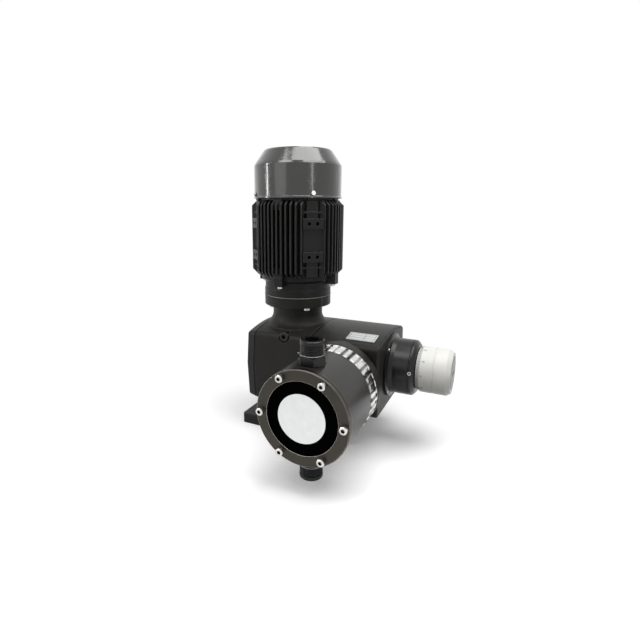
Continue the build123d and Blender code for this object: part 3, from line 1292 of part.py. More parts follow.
with BuildPart() as tie_screws:
    for axis in tie_spots:
        under_lug = axis.offset(SHIELD_NECK_Z - TIE_LUG_DROP).origin
        low_end = Plane(origin=under_lug, x_dir=(1, 0, 0), z_dir=(0, 0, -1))
        screw(low_end, -22, TIE_HEAD_H, TIE_SCREW_R, TIE_HEAD_R, TIE_HEAD_H, 1.8)
        high = FRAME_HIGH + TIE_LUG_DROP + TIE_HEAD_H
        screw(axis, FRAME_HIGH - 10, high, TIE_SCREW_R, TIE_HEAD_R, TIE_HEAD_H, 1.8)
save(tie_screws, "tie_screws")

with BuildPart() as stator_core:
    tube(MOTOR, CORE_LOW, CORE_HIGH, FRAME_BORE_R, ROTOR_R + AIR_GAP)
save(stator_core, "stator_core")

with BuildPart() as stator_windings:
    inner_w = ROTOR_R + 4.0
    outer_w = FRAME_BORE_R - 5.0
    for near, far in ((CORE_LOW, CORE_LOW - WINDING_REACH), (CORE_HIGH, CORE_HIGH + WINDING_REACH)):
        round_off = 3.0 if far < near else -3.0
        turn(
            MOTOR,
            [
                (inner_w, near),
                (outer_w, near),
                (outer_w, far + round_off),
                (outer_w - 3, far),
                (inner_w + 3, far),
                (inner_w, far + round_off),
            ],
        )
save(stator_windings, "stator_windings")

SHAFT_LOW = FLANGE_TOP + GASKET - SHAFT_LENGTH
SHAFT_TOP = FAN_LOW + FAN_BLADE_H
with BuildPart() as motor_shaft:
    turn(
        MOTOR,
        [
            (0, SHAFT_LOW),
            (SHAFT_MOTOR_R - 0.8, SHAFT_LOW),
            (SHAFT_MOTOR_R, SHAFT_LOW + 0.8),
            (SHAFT_MOTOR_R, SHIELD_LOW + 1),
            (drive_in, SHIELD_LOW + 2),
            (drive_in, drive_low + drive_w),
            (SHAFT_CORE_R, drive_low + drive_w + 1),
            (SHAFT_CORE_R, FRAME_HIGH - 4),
            (REAR_BEARING[0], FRAME_HIGH - 3),
            (REAR_BEARING[0], FAN_LOW - 1),
            (REAR_BEARING[0] - 1, FAN_LOW),
            (REAR_BEARING[0] - 1, SHAFT_TOP),
            (0, SHAFT_TOP),
        ],
    )
save(motor_shaft, "motor_shaft")

with BuildPart() as rotor_core:
    tube(MOTOR, CORE_LOW - 2, CORE_HIGH + 2, ROTOR_R, SHAFT_CORE_R)
    for low, high in ((CORE_LOW - 8, CORE_LOW - 2), (CORE_HIGH + 2, CORE_HIGH + 8)):
        tube(MOTOR, low, high, ROTOR_R - 1, ROTOR_R - 9)
save(rotor_core, "rotor_core")

rear_in, rear_out, rear_w = REAR_BEARING
LUG_TOP = FAN_SCREW_Z + LUG_ABOVE_SCREW
LUG_REACH = math.sqrt((COVER_R - SHEET - SCREW_GAP) ** 2 - (LUG_WIDTH / 2) ** 2)


def fan_screw_axis(number):
    """The outward axis of one of the fan cover's four screws."""
    lean = math.radians(45 + 90 * number)
    return Plane(
        origin=(MOTOR_X, 0, FAN_SCREW_Z), x_dir=(0, 0, 1), z_dir=(math.cos(lean), math.sin(lean), 0)
    )


with BuildPart() as rear_shield:
    turn(
        MOTOR,
        [
            (rear_in + 4, FRAME_HIGH - 1.5),
            (rear_in + 4, FRAME_HIGH + 0.5),
            (rear_out, FRAME_HIGH + 0.5),
            (rear_out, REAR_TOP),
            (rear_out + 8, REAR_TOP),
            (rear_out + 12, FRAME_HIGH + 6),
            (REAR_RIM_R, FRAME_HIGH + 6),
            (REAR_RIM_R, FRAME_HIGH),
            (FRAME_BORE_R, FRAME_HIGH),
            (FRAME_BORE_R, FRAME_HIGH - 3),
            (FRAME_BORE_R - 4, FRAME_HIGH - 3),
            (FRAME_BORE_R - 4, FRAME_HIGH - 1.5),
        ],
    )
    for number in range(4):
        with BuildSketch(outward(90 * number).offset(FRAME_BORE_R)) as ear:
            with Locations((0, FRAME_HIGH + TIE_LUG_DROP / 2)):
                Rectangle(TIE_LUG_WIDTH, TIE_LUG_DROP)
        extrude(ear.sketch, amount=COVER_R - 2 * SHEET - FRAME_BORE_R)
    top_ear = FRAME_HIGH + TIE_LUG_DROP
    polar_rods(MOTOR, FRAME_HIGH, top_ear, TIE_SCREW_R + SCREW_GAP, TIE_R, 4, 0, Mode.SUBTRACT)
    # lugs that the fan cover slides over
    for number in range(4):
        with BuildSketch(outward(45 + 90 * number).offset(FRAME_WALL_R - 4)) as lug_face:
            with Locations((0, (FRAME_HIGH + LUG_TOP) / 2)):
                Rectangle(LUG_WIDTH, LUG_TOP - FRAME_HIGH)
        extrude(lug_face.sketch, amount=LUG_REACH - FRAME_WALL_R + 4)
        tube(fan_screw_axis(number), COVER_R - FAN_SCREW_LENGTH, COVER_R, FAN_SCREW_R, mode=Mode.SUBTRACT)
save(rear_shield, "rear_shield")

with BuildPart() as cooling_fan:
    tube(MOTOR, FAN_LOW, FAN_LOW + 20, 12, REAR_BEARING[0] - 1)
    tube(MOTOR, FAN_LOW, FAN_LOW + 2.5, FAN_R, 11)
    for number in range(FAN_BLADES):
        with BuildSketch(outward(360 / FAN_BLADES * number).offset(14)) as blade_face:
            with Locations((0, FAN_LOW + FAN_BLADE_H / 2)):
                Rectangle(2.0, FAN_BLADE_H)
        extrude(blade_face.sketch, amount=FAN_R - 15)
save(cooling_fan, "cooling_fan")

slot_r = (COVER_TOP_R - 8, 18.0)
with BuildPart() as fan_cover:
    turn(
        MOTOR,
        [
            (COVER_R - SHEET, COVER_RIM_Z),
            (COVER_R + RIM_BEAD, COVER_RIM_Z),
            (COVER_R + RIM_BEAD, COVER_RIM_Z + 2),
            (COVER_R, COVER_RIM_Z + 3),
            (COVER_R, COVER_SHOULDER_Z - 3),
            (COVER_R - 1.5, COVER_SHOULDER_Z),
            (COVER_TOP_R + 1.5, COVER_TOP_Z - 1.5),
            (COVER_TOP_R, COVER_TOP_Z),
            (0, COVER_TOP_Z),
            (0, COVER_TOP_Z - SHEET),
            (COVER_TOP_R - 0.5, COVER_TOP_Z - SHEET),
            (COVER_R - SHEET - 1, COVER_SHOULDER_Z - 1),
            (COVER_R - SHEET, COVER_SHOULDER_Z - 4),
        ],
    )
    for number in range(4):
        hole_r = FAN_SCREW_R + SCREW_GAP
        tube(fan_screw_axis(number), COVER_R - 5, COVER_R + 5, hole_r, mode=Mode.SUBTRACT)
    for ring_r, count in ((slot_r[0], GRILLE_SLOTS), ((slot_r[0] + slot_r[1]) / 2, GRILLE_SLOTS)):
        for number in range(count):
            place = spot(MOTOR, ring_r, 360 / count * number)
            lean = 360 / count * number
            with BuildSketch(place.offset(COVER_TOP_Z)) as slot:
                SlotOverall(12, 4, rotation=lean)
            extrude(slot.sketch, amount=-2 * SHEET, mode=Mode.SUBTRACT)
save(fan_cover, "fan_cover")

with BuildPart() as fan_cover_screws:
    for number in range(4):
        high = COVER_R + 1.5 * FAN_SCREW_R
        low = COVER_R - FAN_SCREW_LENGTH + 0.5
        screw(fan_screw_axis(number), low, high, FAN_SCREW_R, FAN_SCREW_HEAD_R, 1.5 * FAN_SCREW_R - 0.2)
save(fan_cover_screws, "fan_cover_screws")

# ---- terminal box, on the motor's rear corner --------------------------------------

out_angle = math.radians(TERMINAL_ANGLE)
box_mid_z = (PAD_LOW_Z + PAD_HIGH_Z) / 2
TERMINAL = Plane(
    origin=(MOTOR_X, 0, box_mid_z),
    x_dir=(-math.sin(out_angle), math.cos(out_angle), 0),
    z_dir=(math.cos(out_angle), math.sin(out_angle), 0),
)
with BuildPart() as terminal_box:
    with BuildSketch(TERMINAL.offset(PAD_REACH)) as box_outline:
        RectangleRounded(TERMINAL_SIZE, TERMINAL_HEIGHT, 6)
    extrude(box_outline.sketch, amount=TERMINAL_OUTER - PAD_REACH)
    with BuildSketch(TERMINAL.offset(PAD_REACH + TERMINAL_WALL)) as box_inside:
        RectangleRounded(TERMINAL_SIZE - 2 * TERMINAL_WALL, TERMINAL_HEIGHT - 2 * TERMINAL_WALL, 4)
    extrude(box_inside.sketch, amount=TERMINAL_OUTER - PAD_REACH, mode=Mode.SUBTRACT)
    box_middle = TERMINAL.offset((PAD_REACH + TERMINAL_OUTER) / 2).origin
    gland_axis = Plane(origin=box_middle, x_dir=(0, 0, 1), z_dir=-TERMINAL.x_dir)
    tube(gland_axis, TERMINAL_SIZE / 2 - 5, TERMINAL_SIZE / 2 + 1, GLAND_R, mode=Mode.SUBTRACT)
save(terminal_box, "terminal_box")

lid_x = TERMINAL_SIZE / 2 - LID_SCREW_INSET
lid_y = TERMINAL_HEIGHT / 2 - LID_SCREW_INSET
corner_spots = [(x * lid_x, y * lid_y) for x in (-1, 1) for y in (-1, 1)]
with BuildPart() as terminal_lid:
    with BuildSketch(TERMINAL.offset(TERMINAL_OUTER)) as lid_outline:
        RectangleRounded(TERMINAL_SIZE, TERMINAL_HEIGHT, 6)
    extrude(lid_outline.sketch, amount=LID_THICK)
    lid_edges = terminal_lid.faces().sort_by(Axis((0, 0, 0), tuple(TERMINAL.z_dir)))[-1].edges()
    fillet(lid_edges, radius=2)
    with BuildSketch(TERMINAL.offset(TERMINAL_OUTER + LID_THICK)) as lid_holes:
        with Locations(*corner_spots):
            Circle(2.2)
    extrude(lid_holes.sketch, amount=-LID_THICK, mode=Mode.SUBTRACT)
save(terminal_lid, "terminal_lid")

with BuildPart() as terminal_lid_screws:
    for x, y in corner_spots:
        place = TERMINAL.origin + TERMINAL.x_dir * x + TERMINAL.y_dir * y
        axis = Plane(origin=place, x_dir=TERMINAL.x_dir, z_dir=TERMINAL.z_dir)
        high = TERMINAL_OUTER + LID_THICK + 2.4
        screw(axis, TERMINAL_OUTER + 0.5, high, 2.0, 3.8, 2.4)
save(terminal_lid_screws, "terminal_lid_screws")

with BuildPart() as terminal_block:
    with BuildSketch(TERMINAL.offset(PAD_REACH + TERMINAL_WALL)) as block_foot:
        Rectangle(44, 28)
    extrude(block_foot.sketch, amount=9)
    with BuildSketch(TERMINAL.offset(PAD_REACH + TERMINAL_WALL + 9)) as studs:
        with GridLocations(15, 14, 3, 2):
            Circle(2.0)
    extrude(studs.sketch, amount=9)
save(terminal_block, "terminal_block")

with BuildPart() as cable_gland:
    edge = TERMINAL_SIZE / 2
    tube(gland_axis, edge - TERMINAL_WALL - 2, edge, GLAND_R)
    with BuildSketch(gland_axis.offset(edge)) as hexagon:
        RegularPolygon(GLAND_NUT_R, 6)
    extrude(hexagon.sketch, amount=7)
    tube(gland_axis, edge + 7, edge + 16, GLAND_NUT_R - 2)
    tube(gland_axis, edge - TERMINAL_WALL - 3, edge + 17, GLAND_BORE_R, mode=Mode.SUBTRACT)
save(cable_gland, "cable_gland")
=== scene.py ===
"""Finish, fine pieces, light and camera for the metering pump. Metres, +Z up, -Y front."""
import json
import math

import bmesh
import bpy
from mathutils import Matrix, Vector


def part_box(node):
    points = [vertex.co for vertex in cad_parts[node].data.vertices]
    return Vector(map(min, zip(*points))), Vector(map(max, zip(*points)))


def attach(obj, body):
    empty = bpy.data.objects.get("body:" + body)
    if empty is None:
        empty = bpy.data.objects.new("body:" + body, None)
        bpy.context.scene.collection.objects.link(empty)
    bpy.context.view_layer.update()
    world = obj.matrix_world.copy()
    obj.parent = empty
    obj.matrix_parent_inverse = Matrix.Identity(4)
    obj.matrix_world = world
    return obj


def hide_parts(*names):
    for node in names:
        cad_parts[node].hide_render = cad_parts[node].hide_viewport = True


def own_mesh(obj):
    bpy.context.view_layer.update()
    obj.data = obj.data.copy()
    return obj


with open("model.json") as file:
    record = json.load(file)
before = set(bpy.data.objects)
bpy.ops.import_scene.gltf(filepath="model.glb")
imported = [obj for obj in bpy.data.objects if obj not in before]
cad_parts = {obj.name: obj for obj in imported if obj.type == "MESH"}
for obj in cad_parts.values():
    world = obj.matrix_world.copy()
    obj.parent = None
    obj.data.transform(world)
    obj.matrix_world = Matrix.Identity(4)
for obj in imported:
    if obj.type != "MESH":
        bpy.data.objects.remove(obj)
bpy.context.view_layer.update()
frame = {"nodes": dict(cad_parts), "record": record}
nodes = frame["nodes"]

MM = 0.001
WHITE = (1.0, 1.0, 1.0)
RIGHT = Vector((1, 0, 0))
FRONT = Vector((0, -1, 0))


# ---- places taken from the frame ---------------------------------------------------


class Place:
    """A node's box, by its low corner, its high corner and its middle."""

    def __init__(self, node):
        low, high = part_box(node)
        self.low = Vector(low)
        self.high = Vector(high)
        self.middle = (self.low + self.high) / 2


head = Place("front_ring")
knob = Place("knob")
HEAD_AXIS = Vector((head.middle.x, head.low.y, head.middle.z))
KNOB_AXIS = Vector((knob.low.x, knob.middle.y, knob.middle.z))
SEAMS = tuple(Place(node).middle.x for node in ("housing_gasket", "side_cover_gasket"))


# ---- materials ---------------------------------------------------------------------

NODE_SAMPLES = 4
# the colour that painted shade in corners and sockets, and the castings' dark seams, darken towards
SHADE_AND_SEAM_DARK = (0.002, 0.002, 0.002)
EDGE_HIGHLIGHT_SHARE = 0.55  # how much of the edge colour shows on a casting's edges, as a painted highlight
SEAM_DEPTH = 0.002
SCRATCH_DEPTH = 0.00001
GRAIN_DEPTH = 0.00002
FLUTE_DEPTH = 0.0004
# the colour of the flutes' hollows, a painted dark reflection
FLUTE_DARK_REFLECTION = (0.012, 0.012, 0.012)
SLOW_WAVE = 0.31  # crests for each flute of a second wave, which makes them uneven
SLOW_HEIGHT = 0.5


class Shader:
    """A procedural material under construction, in the row frame's metres."""

    def __init__(self, name):
        self.material = bpy.data.materials.new(name)
        self.material.use_nodes = True
        self.tree = self.material.node_tree
        self.tree.nodes.clear()
        self.bsdf = self.tree.nodes.new("ShaderNodeBsdfPrincipled")
        output = self.tree.nodes.new("ShaderNodeOutputMaterial")
        self.tree.links.new(self.bsdf.outputs["BSDF"], output.inputs["Surface"])
        self.place = self.tree.nodes.new("ShaderNodeTexCoord").outputs["Object"]

    def wire(self, source, socket):
        """Puts a number, a colour or another node's output on a socket."""
        if isinstance(source, bpy.types.NodeSocket):
            self.tree.links.new(source, socket)
        elif isinstance(source, (tuple, list)) and len(source) == 3 and socket.type == "RGBA":
            socket.default_value = (*source, 1.0)
        else:
            socket.default_value = source

    def set(self, **values):
        """Sets the surface's own inputs: base_color, roughness, metallic and so on."""
        for key, value in values.items():
            label = key.replace("_", " ").title().replace("Ior", "IOR")
            self.wire(value, self.bsdf.inputs[label])

    def maths(self, operation, first, second=0.0):
        """One sum on numbers or on other nodes' numbers."""
        node = self.tree.nodes.new("ShaderNodeMath")
        node.operation = operation
        self.wire(first, node.inputs[0])
        self.wire(second, node.inputs[1])
        return node.outputs["Value"]

    def vector_maths(self, operation, first, second=None):
        """The node of one sum on places or directions."""
        node = self.tree.nodes.new("ShaderNodeVectorMath")
        node.operation = operation
        self.wire(first, node.inputs[0])
        if second is not None:
            self.wire(second, node.inputs[1])
        return node

    def between(self, factor, low, high, start=0.0, end=1.0):
        """A number that goes from low to high as factor goes from start to end."""
        node = self.tree.nodes.new("ShaderNodeMapRange")
        self.wire(factor, node.inputs["Value"])
        self.wire(start, node.inputs["From Min"])
        self.wire(end, node.inputs["From Max"])
        self.wire(low, node.inputs["To Min"])
        self.wire(high, node.inputs["To Max"])
        return node.outputs["Result"]

    def blend(self, factor, first, second):
        """A colour between two others."""
        node = self.tree.nodes.new("ShaderNodeMix")
        node.data_type = "RGBA"
        self.wire(factor, node.inputs["Factor"])
        colours = [socket for socket in node.inputs if socket.type == "RGBA"]
        self.wire(first, colours[0])
        self.wire(second, colours[1])
        return next(socket for socket in node.outputs if socket.type == "RGBA")

    def dimmed(self, colour, factor):
        """A colour darkened where factor is under 1."""
        return self.blend(factor, SHADE_AND_SEAM_DARK, colour)

    def along(self, axis):
        """The X, Y or Z of the place in the frame."""
        parts = self.tree.nodes.new("ShaderNodeSeparateXYZ")
        self.wire(self.place, parts.inputs["Vector"])
        return parts.outputs[axis]

    def stretched(self, scale):
        """The frame's coordinates scaled differently along X, Y and Z."""
        mapping = self.tree.nodes.new("ShaderNodeMapping")
        self.wire(self.place, mapping.inputs["Vector"])
        self.wire(scale, mapping.inputs["Scale"])
        return mapping.outputs["Vector"]

    def noise(self, size, detail=4.0, roughness=0.6, vector=None):
        """Soft noise whose features are about size metres across."""
        texture = self.tree.nodes.new("ShaderNodeTexNoise")
        self.wire(vector or self.place, texture.inputs["Vector"])
        self.wire(1.0 / size, texture.inputs["Scale"])
        self.wire(detail, texture.inputs["Detail"])
        self.wire(roughness, texture.inputs["Roughness"])
        return texture.outputs["Fac"]

    def grains(self, size):
        """Small round cells, as of a sand-cast or blasted skin."""
        texture = self.tree.nodes.new("ShaderNodeTexVoronoi")
        self.wire(self.place, texture.inputs["Vector"])
        self.wire(1.0 / size, texture.inputs["Scale"])
        return texture.outputs["Distance"]

    def rings(self, origin, axis, pitch):
        """Fine lines around an axis, as a lathe leaves them on a face and a barrel."""
        shift = self.vector_maths("SUBTRACT", self.place, tuple(origin)).outputs["Vector"]
        length = self.vector_maths("LENGTH", shift).outputs["Value"]
        depth = self.vector_maths("DOT_PRODUCT", shift, tuple(axis)).outputs["Value"]
        joined = self.tree.nodes.new("ShaderNodeCombineXYZ")
        self.wire(self.maths("ADD", length, depth), joined.inputs["X"])
        return self.noise(pitch, detail=2.0, vector=joined.outputs["Vector"])

    def flutes(self, origin, count):
        """0 in count flutes around an axis that runs front to back, and 1 on their crests."""
        side = self.maths("SUBTRACT", self.along("X"), origin.x)
        rise = self.maths("SUBTRACT", self.along("Z"), origin.z)
        angle = self.maths("ARCTAN2", side, rise)
        quick = self.maths("SINE", self.maths("MULTIPLY", angle, float(count)))
        slow = self.maths("SINE", self.maths("MULTIPLY", angle, float(count) * SLOW_WAVE))
        wave = self.maths("ADD", quick, self.maths("MULTIPLY", slow, SLOW_HEIGHT))
        return self.between(wave, low=0.0, high=1.0, start=-1.2, end=0.3)

    def near_seams(self, places, inner, outer):
        """0 at the castings' joints across X and 1 away from them."""
        total = 1.0
        for place in places:
            away = self.maths("ABSOLUTE", self.maths("SUBTRACT", self.along("X"), place))
            clear = self.between(away, low=0.0, high=1.0, start=inner, end=outer)
            total = self.maths("MULTIPLY", clear, total)
        return total

    def rounded(self, radius):
        """Normals rounded over sharp edges by radius."""
        node = self.tree.nodes.new("ShaderNodeBevel")
        node.samples = NODE_SAMPLES
        self.wire(radius, node.inputs["Radius"])
        return node.outputs["Normal"]

    def edges(self, radius):
        """Nearly 1 within radius of a sharp edge and 0 away from it."""
        flat = self.tree.nodes.new("ShaderNodeNewGeometry").outputs["Normal"]
        match = self.vector_maths("DOT_PRODUCT", self.rounded(radius), flat).outputs["Value"]
        return self.between(match, low=1.0, high=0.0, start=0.75, end=0.98)

    def shaded(self, reach, floor_level):
        """Painted shade: 1 in the open, falling to floor_level in sockets and corners narrower than
        reach.
        """
        node = self.tree.nodes.new("ShaderNodeAmbientOcclusion")
        node.samples = NODE_SAMPLES
        self.wire(reach, node.inputs["Distance"])
        return self.between(node.outputs["AO"], low=floor_level, high=1.0, start=0.3, end=0.8)

    def bumped(self, *layers, normal):
        """Lays (height, depth in metres) layers of relief over the surface's normals."""
        for height, depth in layers:
            node = self.tree.nodes.new("ShaderNodeBump")
            self.wire(height, node.inputs["Height"])
            self.wire(depth, node.inputs["Distance"])
            self.wire(normal, node.inputs["Normal"])
            normal = node.outputs["Normal"]
        self.wire(normal, self.bsdf.inputs["Normal"])


def darker(colour, share):
    """A colour with each channel brought down to a share of it."""
    return tuple(channel * share for channel in colour)


def painted(
    name, dark, light, edge_highlight, rough, skin, skin_depth, round_edge,
    shine, coat=0.0, metallic=0.0, dent=0.0004, seams=(),
):
    """Paint on a casting: mottled colour, cast skin, a painted highlight along the edges and painted
    shade in corners and sockets.
    """
    shader = Shader(name)
    mottle = shader.noise(size=0.03, detail=5.0)
    dust = shader.noise(size=0.004, detail=6.0, roughness=0.7)
    specks = shader.between(dust, low=0.0, high=0.25, start=0.55, end=0.8)
    # a painted highlight along the edges
    highlit_edges = shader.maths("MULTIPLY", shader.edges(radius=0.0012), EDGE_HIGHLIGHT_SHARE)
    layers = [(shader.grains(skin), skin_depth), (mottle, dent)]
    colour = shader.blend(mottle, dark, light)
    colour = shader.blend(specks, colour, light)
    colour = shader.blend(highlit_edges, colour, edge_highlight)
    # painted shade in corners and sockets
    colour = shader.dimmed(colour, shader.shaded(reach=0.004, floor_level=0.3))
    if seams:
        groove = shader.near_seams(seams, inner=0.0009, outer=0.0021)
        colour = shader.dimmed(colour, groove)
        layers.append((groove, SEAM_DEPTH))
    shader.set(base_color=colour, metallic=metallic, coat_weight=coat, coat_roughness=0.12)
    shader.set(specular_ior_level=shine)
    shader.set(roughness=shader.between(dust, low=rough - 0.06, high=rough + 0.08))
    shader.bumped(*layers, normal=shader.rounded(round_edge))
    return shader.material


def metal(name, colour, rough, scratch=0.0015):
    """Bare metal with faint scratches and stains, and painted shade in its sockets and corners."""
    shader = Shader(name)
    stained = shader.blend(shader.noise(size=0.008), colour, darker(colour, share=0.85))
    # painted shade in sockets and corners, black at their deepest
    corners = shader.shaded(reach=0.006, floor_level=0.0)
    shader.set(base_color=shader.dimmed(stained, corners), metallic=1.0)
    brushed = shader.stretched((1.0, 0.15, 0.3))
    lines = shader.noise(scratch, detail=3.0, roughness=0.7, vector=brushed)
    shader.set(roughness=shader.between(lines, low=rough * 0.75, high=rough * 1.3))
    shader.bumped((lines, SCRATCH_DEPTH), normal=shader.rounded(radius=0.0003))
    return shader.material


def turned(name, colour, edge_highlight, rough, pitch, depth, metallic=1.0, shine=0.5):
    """A piece finished on a lathe, with fine rings about the head's axis and a painted highlight along
    its edges.
    """
    shader = Shader(name)
    rings = shader.rings(HEAD_AXIS, FRONT, pitch)
    smudge = shader.noise(size=0.02)
    smudged = shader.blend(smudge, colour, darker(colour, share=0.8))
    # a painted highlight along the edges
    highlit_edges = shader.blend(shader.edges(radius=0.0009), smudged, edge_highlight)
    shader.set(base_color=highlit_edges, metallic=metallic, specular_ior_level=shine)
    gloss = shader.maths("MULTIPLY", rings, shader.between(smudge, low=0.8, high=1.2))
    shader.set(roughness=shader.between(gloss, low=rough * 0.8, high=rough * 1.25))
    shader.bumped((rings, depth), normal=shader.rounded(radius=0.0008))
    return shader.material


def fluted(name, colour, count):
    """Polished metal with flutes around the head's axis, their hollows painted dark as a painted
    reflection.
    """
    shader = Shader(name)
    crest = shader.flutes(HEAD_AXIS, count)
    stain = shader.noise(size=0.006)
    lit = shader.blend(stain, colour, darker(colour, share=0.8))
    # painted dark reflection in the flutes' hollows
    shader.set(base_color=shader.blend(crest, FLUTE_DARK_REFLECTION, lit), metallic=1.0)
    shader.set(roughness=shader.between(stain, low=0.06, high=0.14))
    shader.bumped((crest, FLUTE_DEPTH), normal=shader.rounded(radius=0.0005))
    return shader.material


def plastic(name, colour, rough, shine=0.5):
    """Moulded plastic with a fine eroded grain."""
    shader = Shader(name)
    clouded = shader.blend(shader.noise(size=0.015), colour, darker(colour, share=0.86))
    shader.set(base_color=clouded, specular_ior_level=shine)
    grain = shader.noise(size=0.0006, detail=3.0)
    shader.set(roughness=shader.between(grain, low=rough - 0.05, high=rough + 0.06))
    shader.bumped((grain, GRAIN_DEPTH), normal=shader.rounded(radius=0.0005))
    return shader.material


# The third colour given to painted() and the second given to turned() are painted highlights along the
# edges
finishes = {
    "black_casting": painted(
        "black_casting", (0.009, 0.0085, 0.008), (0.017, 0.016, 0.0145), (0.13, 0.122, 0.11),
        rough=0.42, skin=0.0014, skin_depth=0.00012, round_edge=0.0012, shine=0.15, seams=SEAMS,
    ),
    "motor_black": painted(
        "motor_black", (0.007, 0.007, 0.007), (0.014, 0.014, 0.0135), (0.16, 0.16, 0.155),
        rough=0.4, skin=0.0016, skin_depth=0.0001, round_edge=0.0007, shine=0.16,
    ),
    "cover_paint": painted(
        "cover_paint", (0.024, 0.0235, 0.0225), (0.038, 0.037, 0.0355), (0.13, 0.13, 0.13),
        rough=0.16, skin=0.003, skin_depth=0.00001, round_edge=0.0012, shine=0.5,
        coat=0.8, metallic=0.6, dent=0.0016,
    ),
    "zinc_steel": metal("zinc_steel", (0.62, 0.61, 0.585), rough=0.28),
    "machined_steel": metal("machined_steel", (0.56, 0.56, 0.56), rough=0.3),
    "polished_ring": fluted("polished_ring", (0.8, 0.79, 0.77), count=36),
    "front_metal": turned(
        "front_metal", (0.052, 0.048, 0.041), (0.55, 0.53, 0.48),
        rough=0.34, pitch=0.0004, depth=0.00001,
    ),
    "head_plastic": turned(
        "head_plastic", (0.016, 0.015, 0.0135), (0.06, 0.057, 0.05),
        rough=0.3, pitch=0.0006, depth=0.000015, metallic=0.0, shine=0.36,
    ),
    "black_disc": plastic("black_disc", (0.0015, 0.0015, 0.0018), rough=0.7, shine=0.0),
    "blank_silver": metal("blank_silver", (0.66, 0.67, 0.67), rough=0.38, scratch=0.0006),
    "valve_plastic": plastic("valve_plastic", (0.005, 0.005, 0.005), rough=0.28, shine=0.3),
    "knob_white": plastic("knob_white", (0.76, 0.755, 0.72), rough=0.32, shine=0.3),
    "grey_plastic": plastic("grey_plastic", (0.33, 0.33, 0.32), rough=0.42),
    "bronze": metal("bronze", (0.62, 0.42, 0.2), rough=0.32),
    "copper_winding": metal("copper_winding", (0.6, 0.27, 0.12), rough=0.4),
    "core_steel": metal("core_steel", (0.35, 0.35, 0.36), rough=0.42),
    "rubber_black": plastic("rubber_black", (0.008, 0.008, 0.008), rough=0.6, shine=0.2),
    "gasket_grey": plastic("gasket_grey", (0.3, 0.3, 0.28), rough=0.6),
    "diaphragm_white": plastic("diaphragm_white", (0.8, 0.8, 0.77), rough=0.4),
    "ceramic_ball": plastic("ceramic_ball", (0.82, 0.82, 0.8), rough=0.12),
}

slot_of = {part["node"]: part["material_slot"] for part in frame["record"]["subparts"]}
for name, node in nodes.items():
    node.data.materials.clear()
    node.data.materials.append(finishes[slot_of[name]])


# ---- mesh tools --------------------------------------------------------------------

SHARP_EDGE_DEG = 35.0
WIRE_SIDES = 10
BAR_FACES = ((0, 1, 3, 2), (4, 6, 7, 5), (0, 4, 5, 1), (2, 3, 7, 6), (0, 2, 6, 4), (1, 5, 7, 3))


def finished(name, mesh, slot, body):
    """A smooth-shaded piece from a bmesh, with its finish and its body."""
    bmesh.ops.recalc_face_normals(mesh, faces=mesh.faces)
    sharp = math.radians(SHARP_EDGE_DEG)
    for edge in mesh.edges:
        edge.smooth = not (edge.is_manifold and edge.calc_face_angle(0.0) > sharp)
    for face in mesh.faces:
        face.smooth = True
    data = bpy.data.meshes.new(name)
    mesh.to_mesh(data)
    mesh.free()
    piece = bpy.data.objects.new(name, data)
    bpy.context.collection.objects.link(piece)
    data.materials.append(finishes[slot])
    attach(piece, body)
    return piece


def full_turn(count):
    """The angles of count even steps around a circle."""
    return [2 * math.pi * step / count for step in range(count)]


def bar(mesh, middle, along, across, up):
    """A small four-sided bar from its middle and its three half sides."""
    corners = [
        mesh.verts.new(middle + along * i + across * j + up * k)
        for i in (-1, 1) for j in (-1, 1) for k in (-1, 1)
    ]
    for face in BAR_FACES:
        mesh.faces.new([corners[index] for index in face])


def skinned(mesh, loops):
    """Joins loops of vertices one to the next and closes both ends."""
    for near, far in zip(loops, loops[1:]):
        for step in range(len(near)):
            following = (step + 1) % len(near)
            mesh.faces.new((near[step], near[following], far[following], far[step]))
    mesh.faces.new(loops[0][::-1])
    mesh.faces.new(loops[-1])


def round_wire(mesh, points, radius):
    """A round wire through points, with closed ends."""
    loops = []
    for index, point in enumerate(points):
        ahead = points[min(index + 1, len(points) - 1)]
        behind = points[max(index - 1, 0)]
        run = (ahead - behind).normalized()
        side = run.orthogonal() if not loops else (side - run * side.dot(run))
        side.normalize()
        rise = run.cross(side)
        loops.append([
            mesh.verts.new(point + (side * math.cos(turn) + rise * math.sin(turn)) * radius)
            for turn in full_turn(WIRE_SIDES)
        ])
    skinned(mesh, loops)


# ---- fine pieces -------------------------------------------------------------------

# Spring clips around the two valves, between the thread and the nut
CLIP_FROM_END = 17.9 * MM
CLIP_R = 15.1 * MM
CLIP_WIRE = 0.42 * MM
CLIP_EAR = 2.4 * MM
CLIP_GAP_DEG = 16.0
CLIP_OPEN_DEG = 205.0
CLIP_STEPS = 48
clip_start = CLIP_OPEN_DEG + CLIP_GAP_DEG / 2
clip_sweep = 360.0 - CLIP_GAP_DEG
clip_turns = [math.radians(clip_start + clip_sweep * step / CLIP_STEPS) for step in range(CLIP_STEPS + 1)]
discharge = Place("discharge_valve")
suction = Place("suction_valve")
for name, valve, height in (
    ("discharge_clip", discharge, discharge.high.z - CLIP_FROM_END),
    ("suction_clip", suction, suction.low.z + CLIP_FROM_END),
):
    middle = Vector((valve.middle.x, valve.middle.y, height))
    rays = [Vector((math.cos(turn), math.sin(turn), 0.0)) for turn in clip_turns]
    arc = [middle + ray * CLIP_R for ray in rays]
    first_ear = middle + rays[0] * (CLIP_R + CLIP_EAR)
    last_ear = middle + rays[-1] * (CLIP_R + CLIP_EAR)
    clip = bmesh.new()
    round_wire(clip, [first_ear, *arc, last_ear], CLIP_WIRE)
    finished(name, clip, "core_steel", "base")
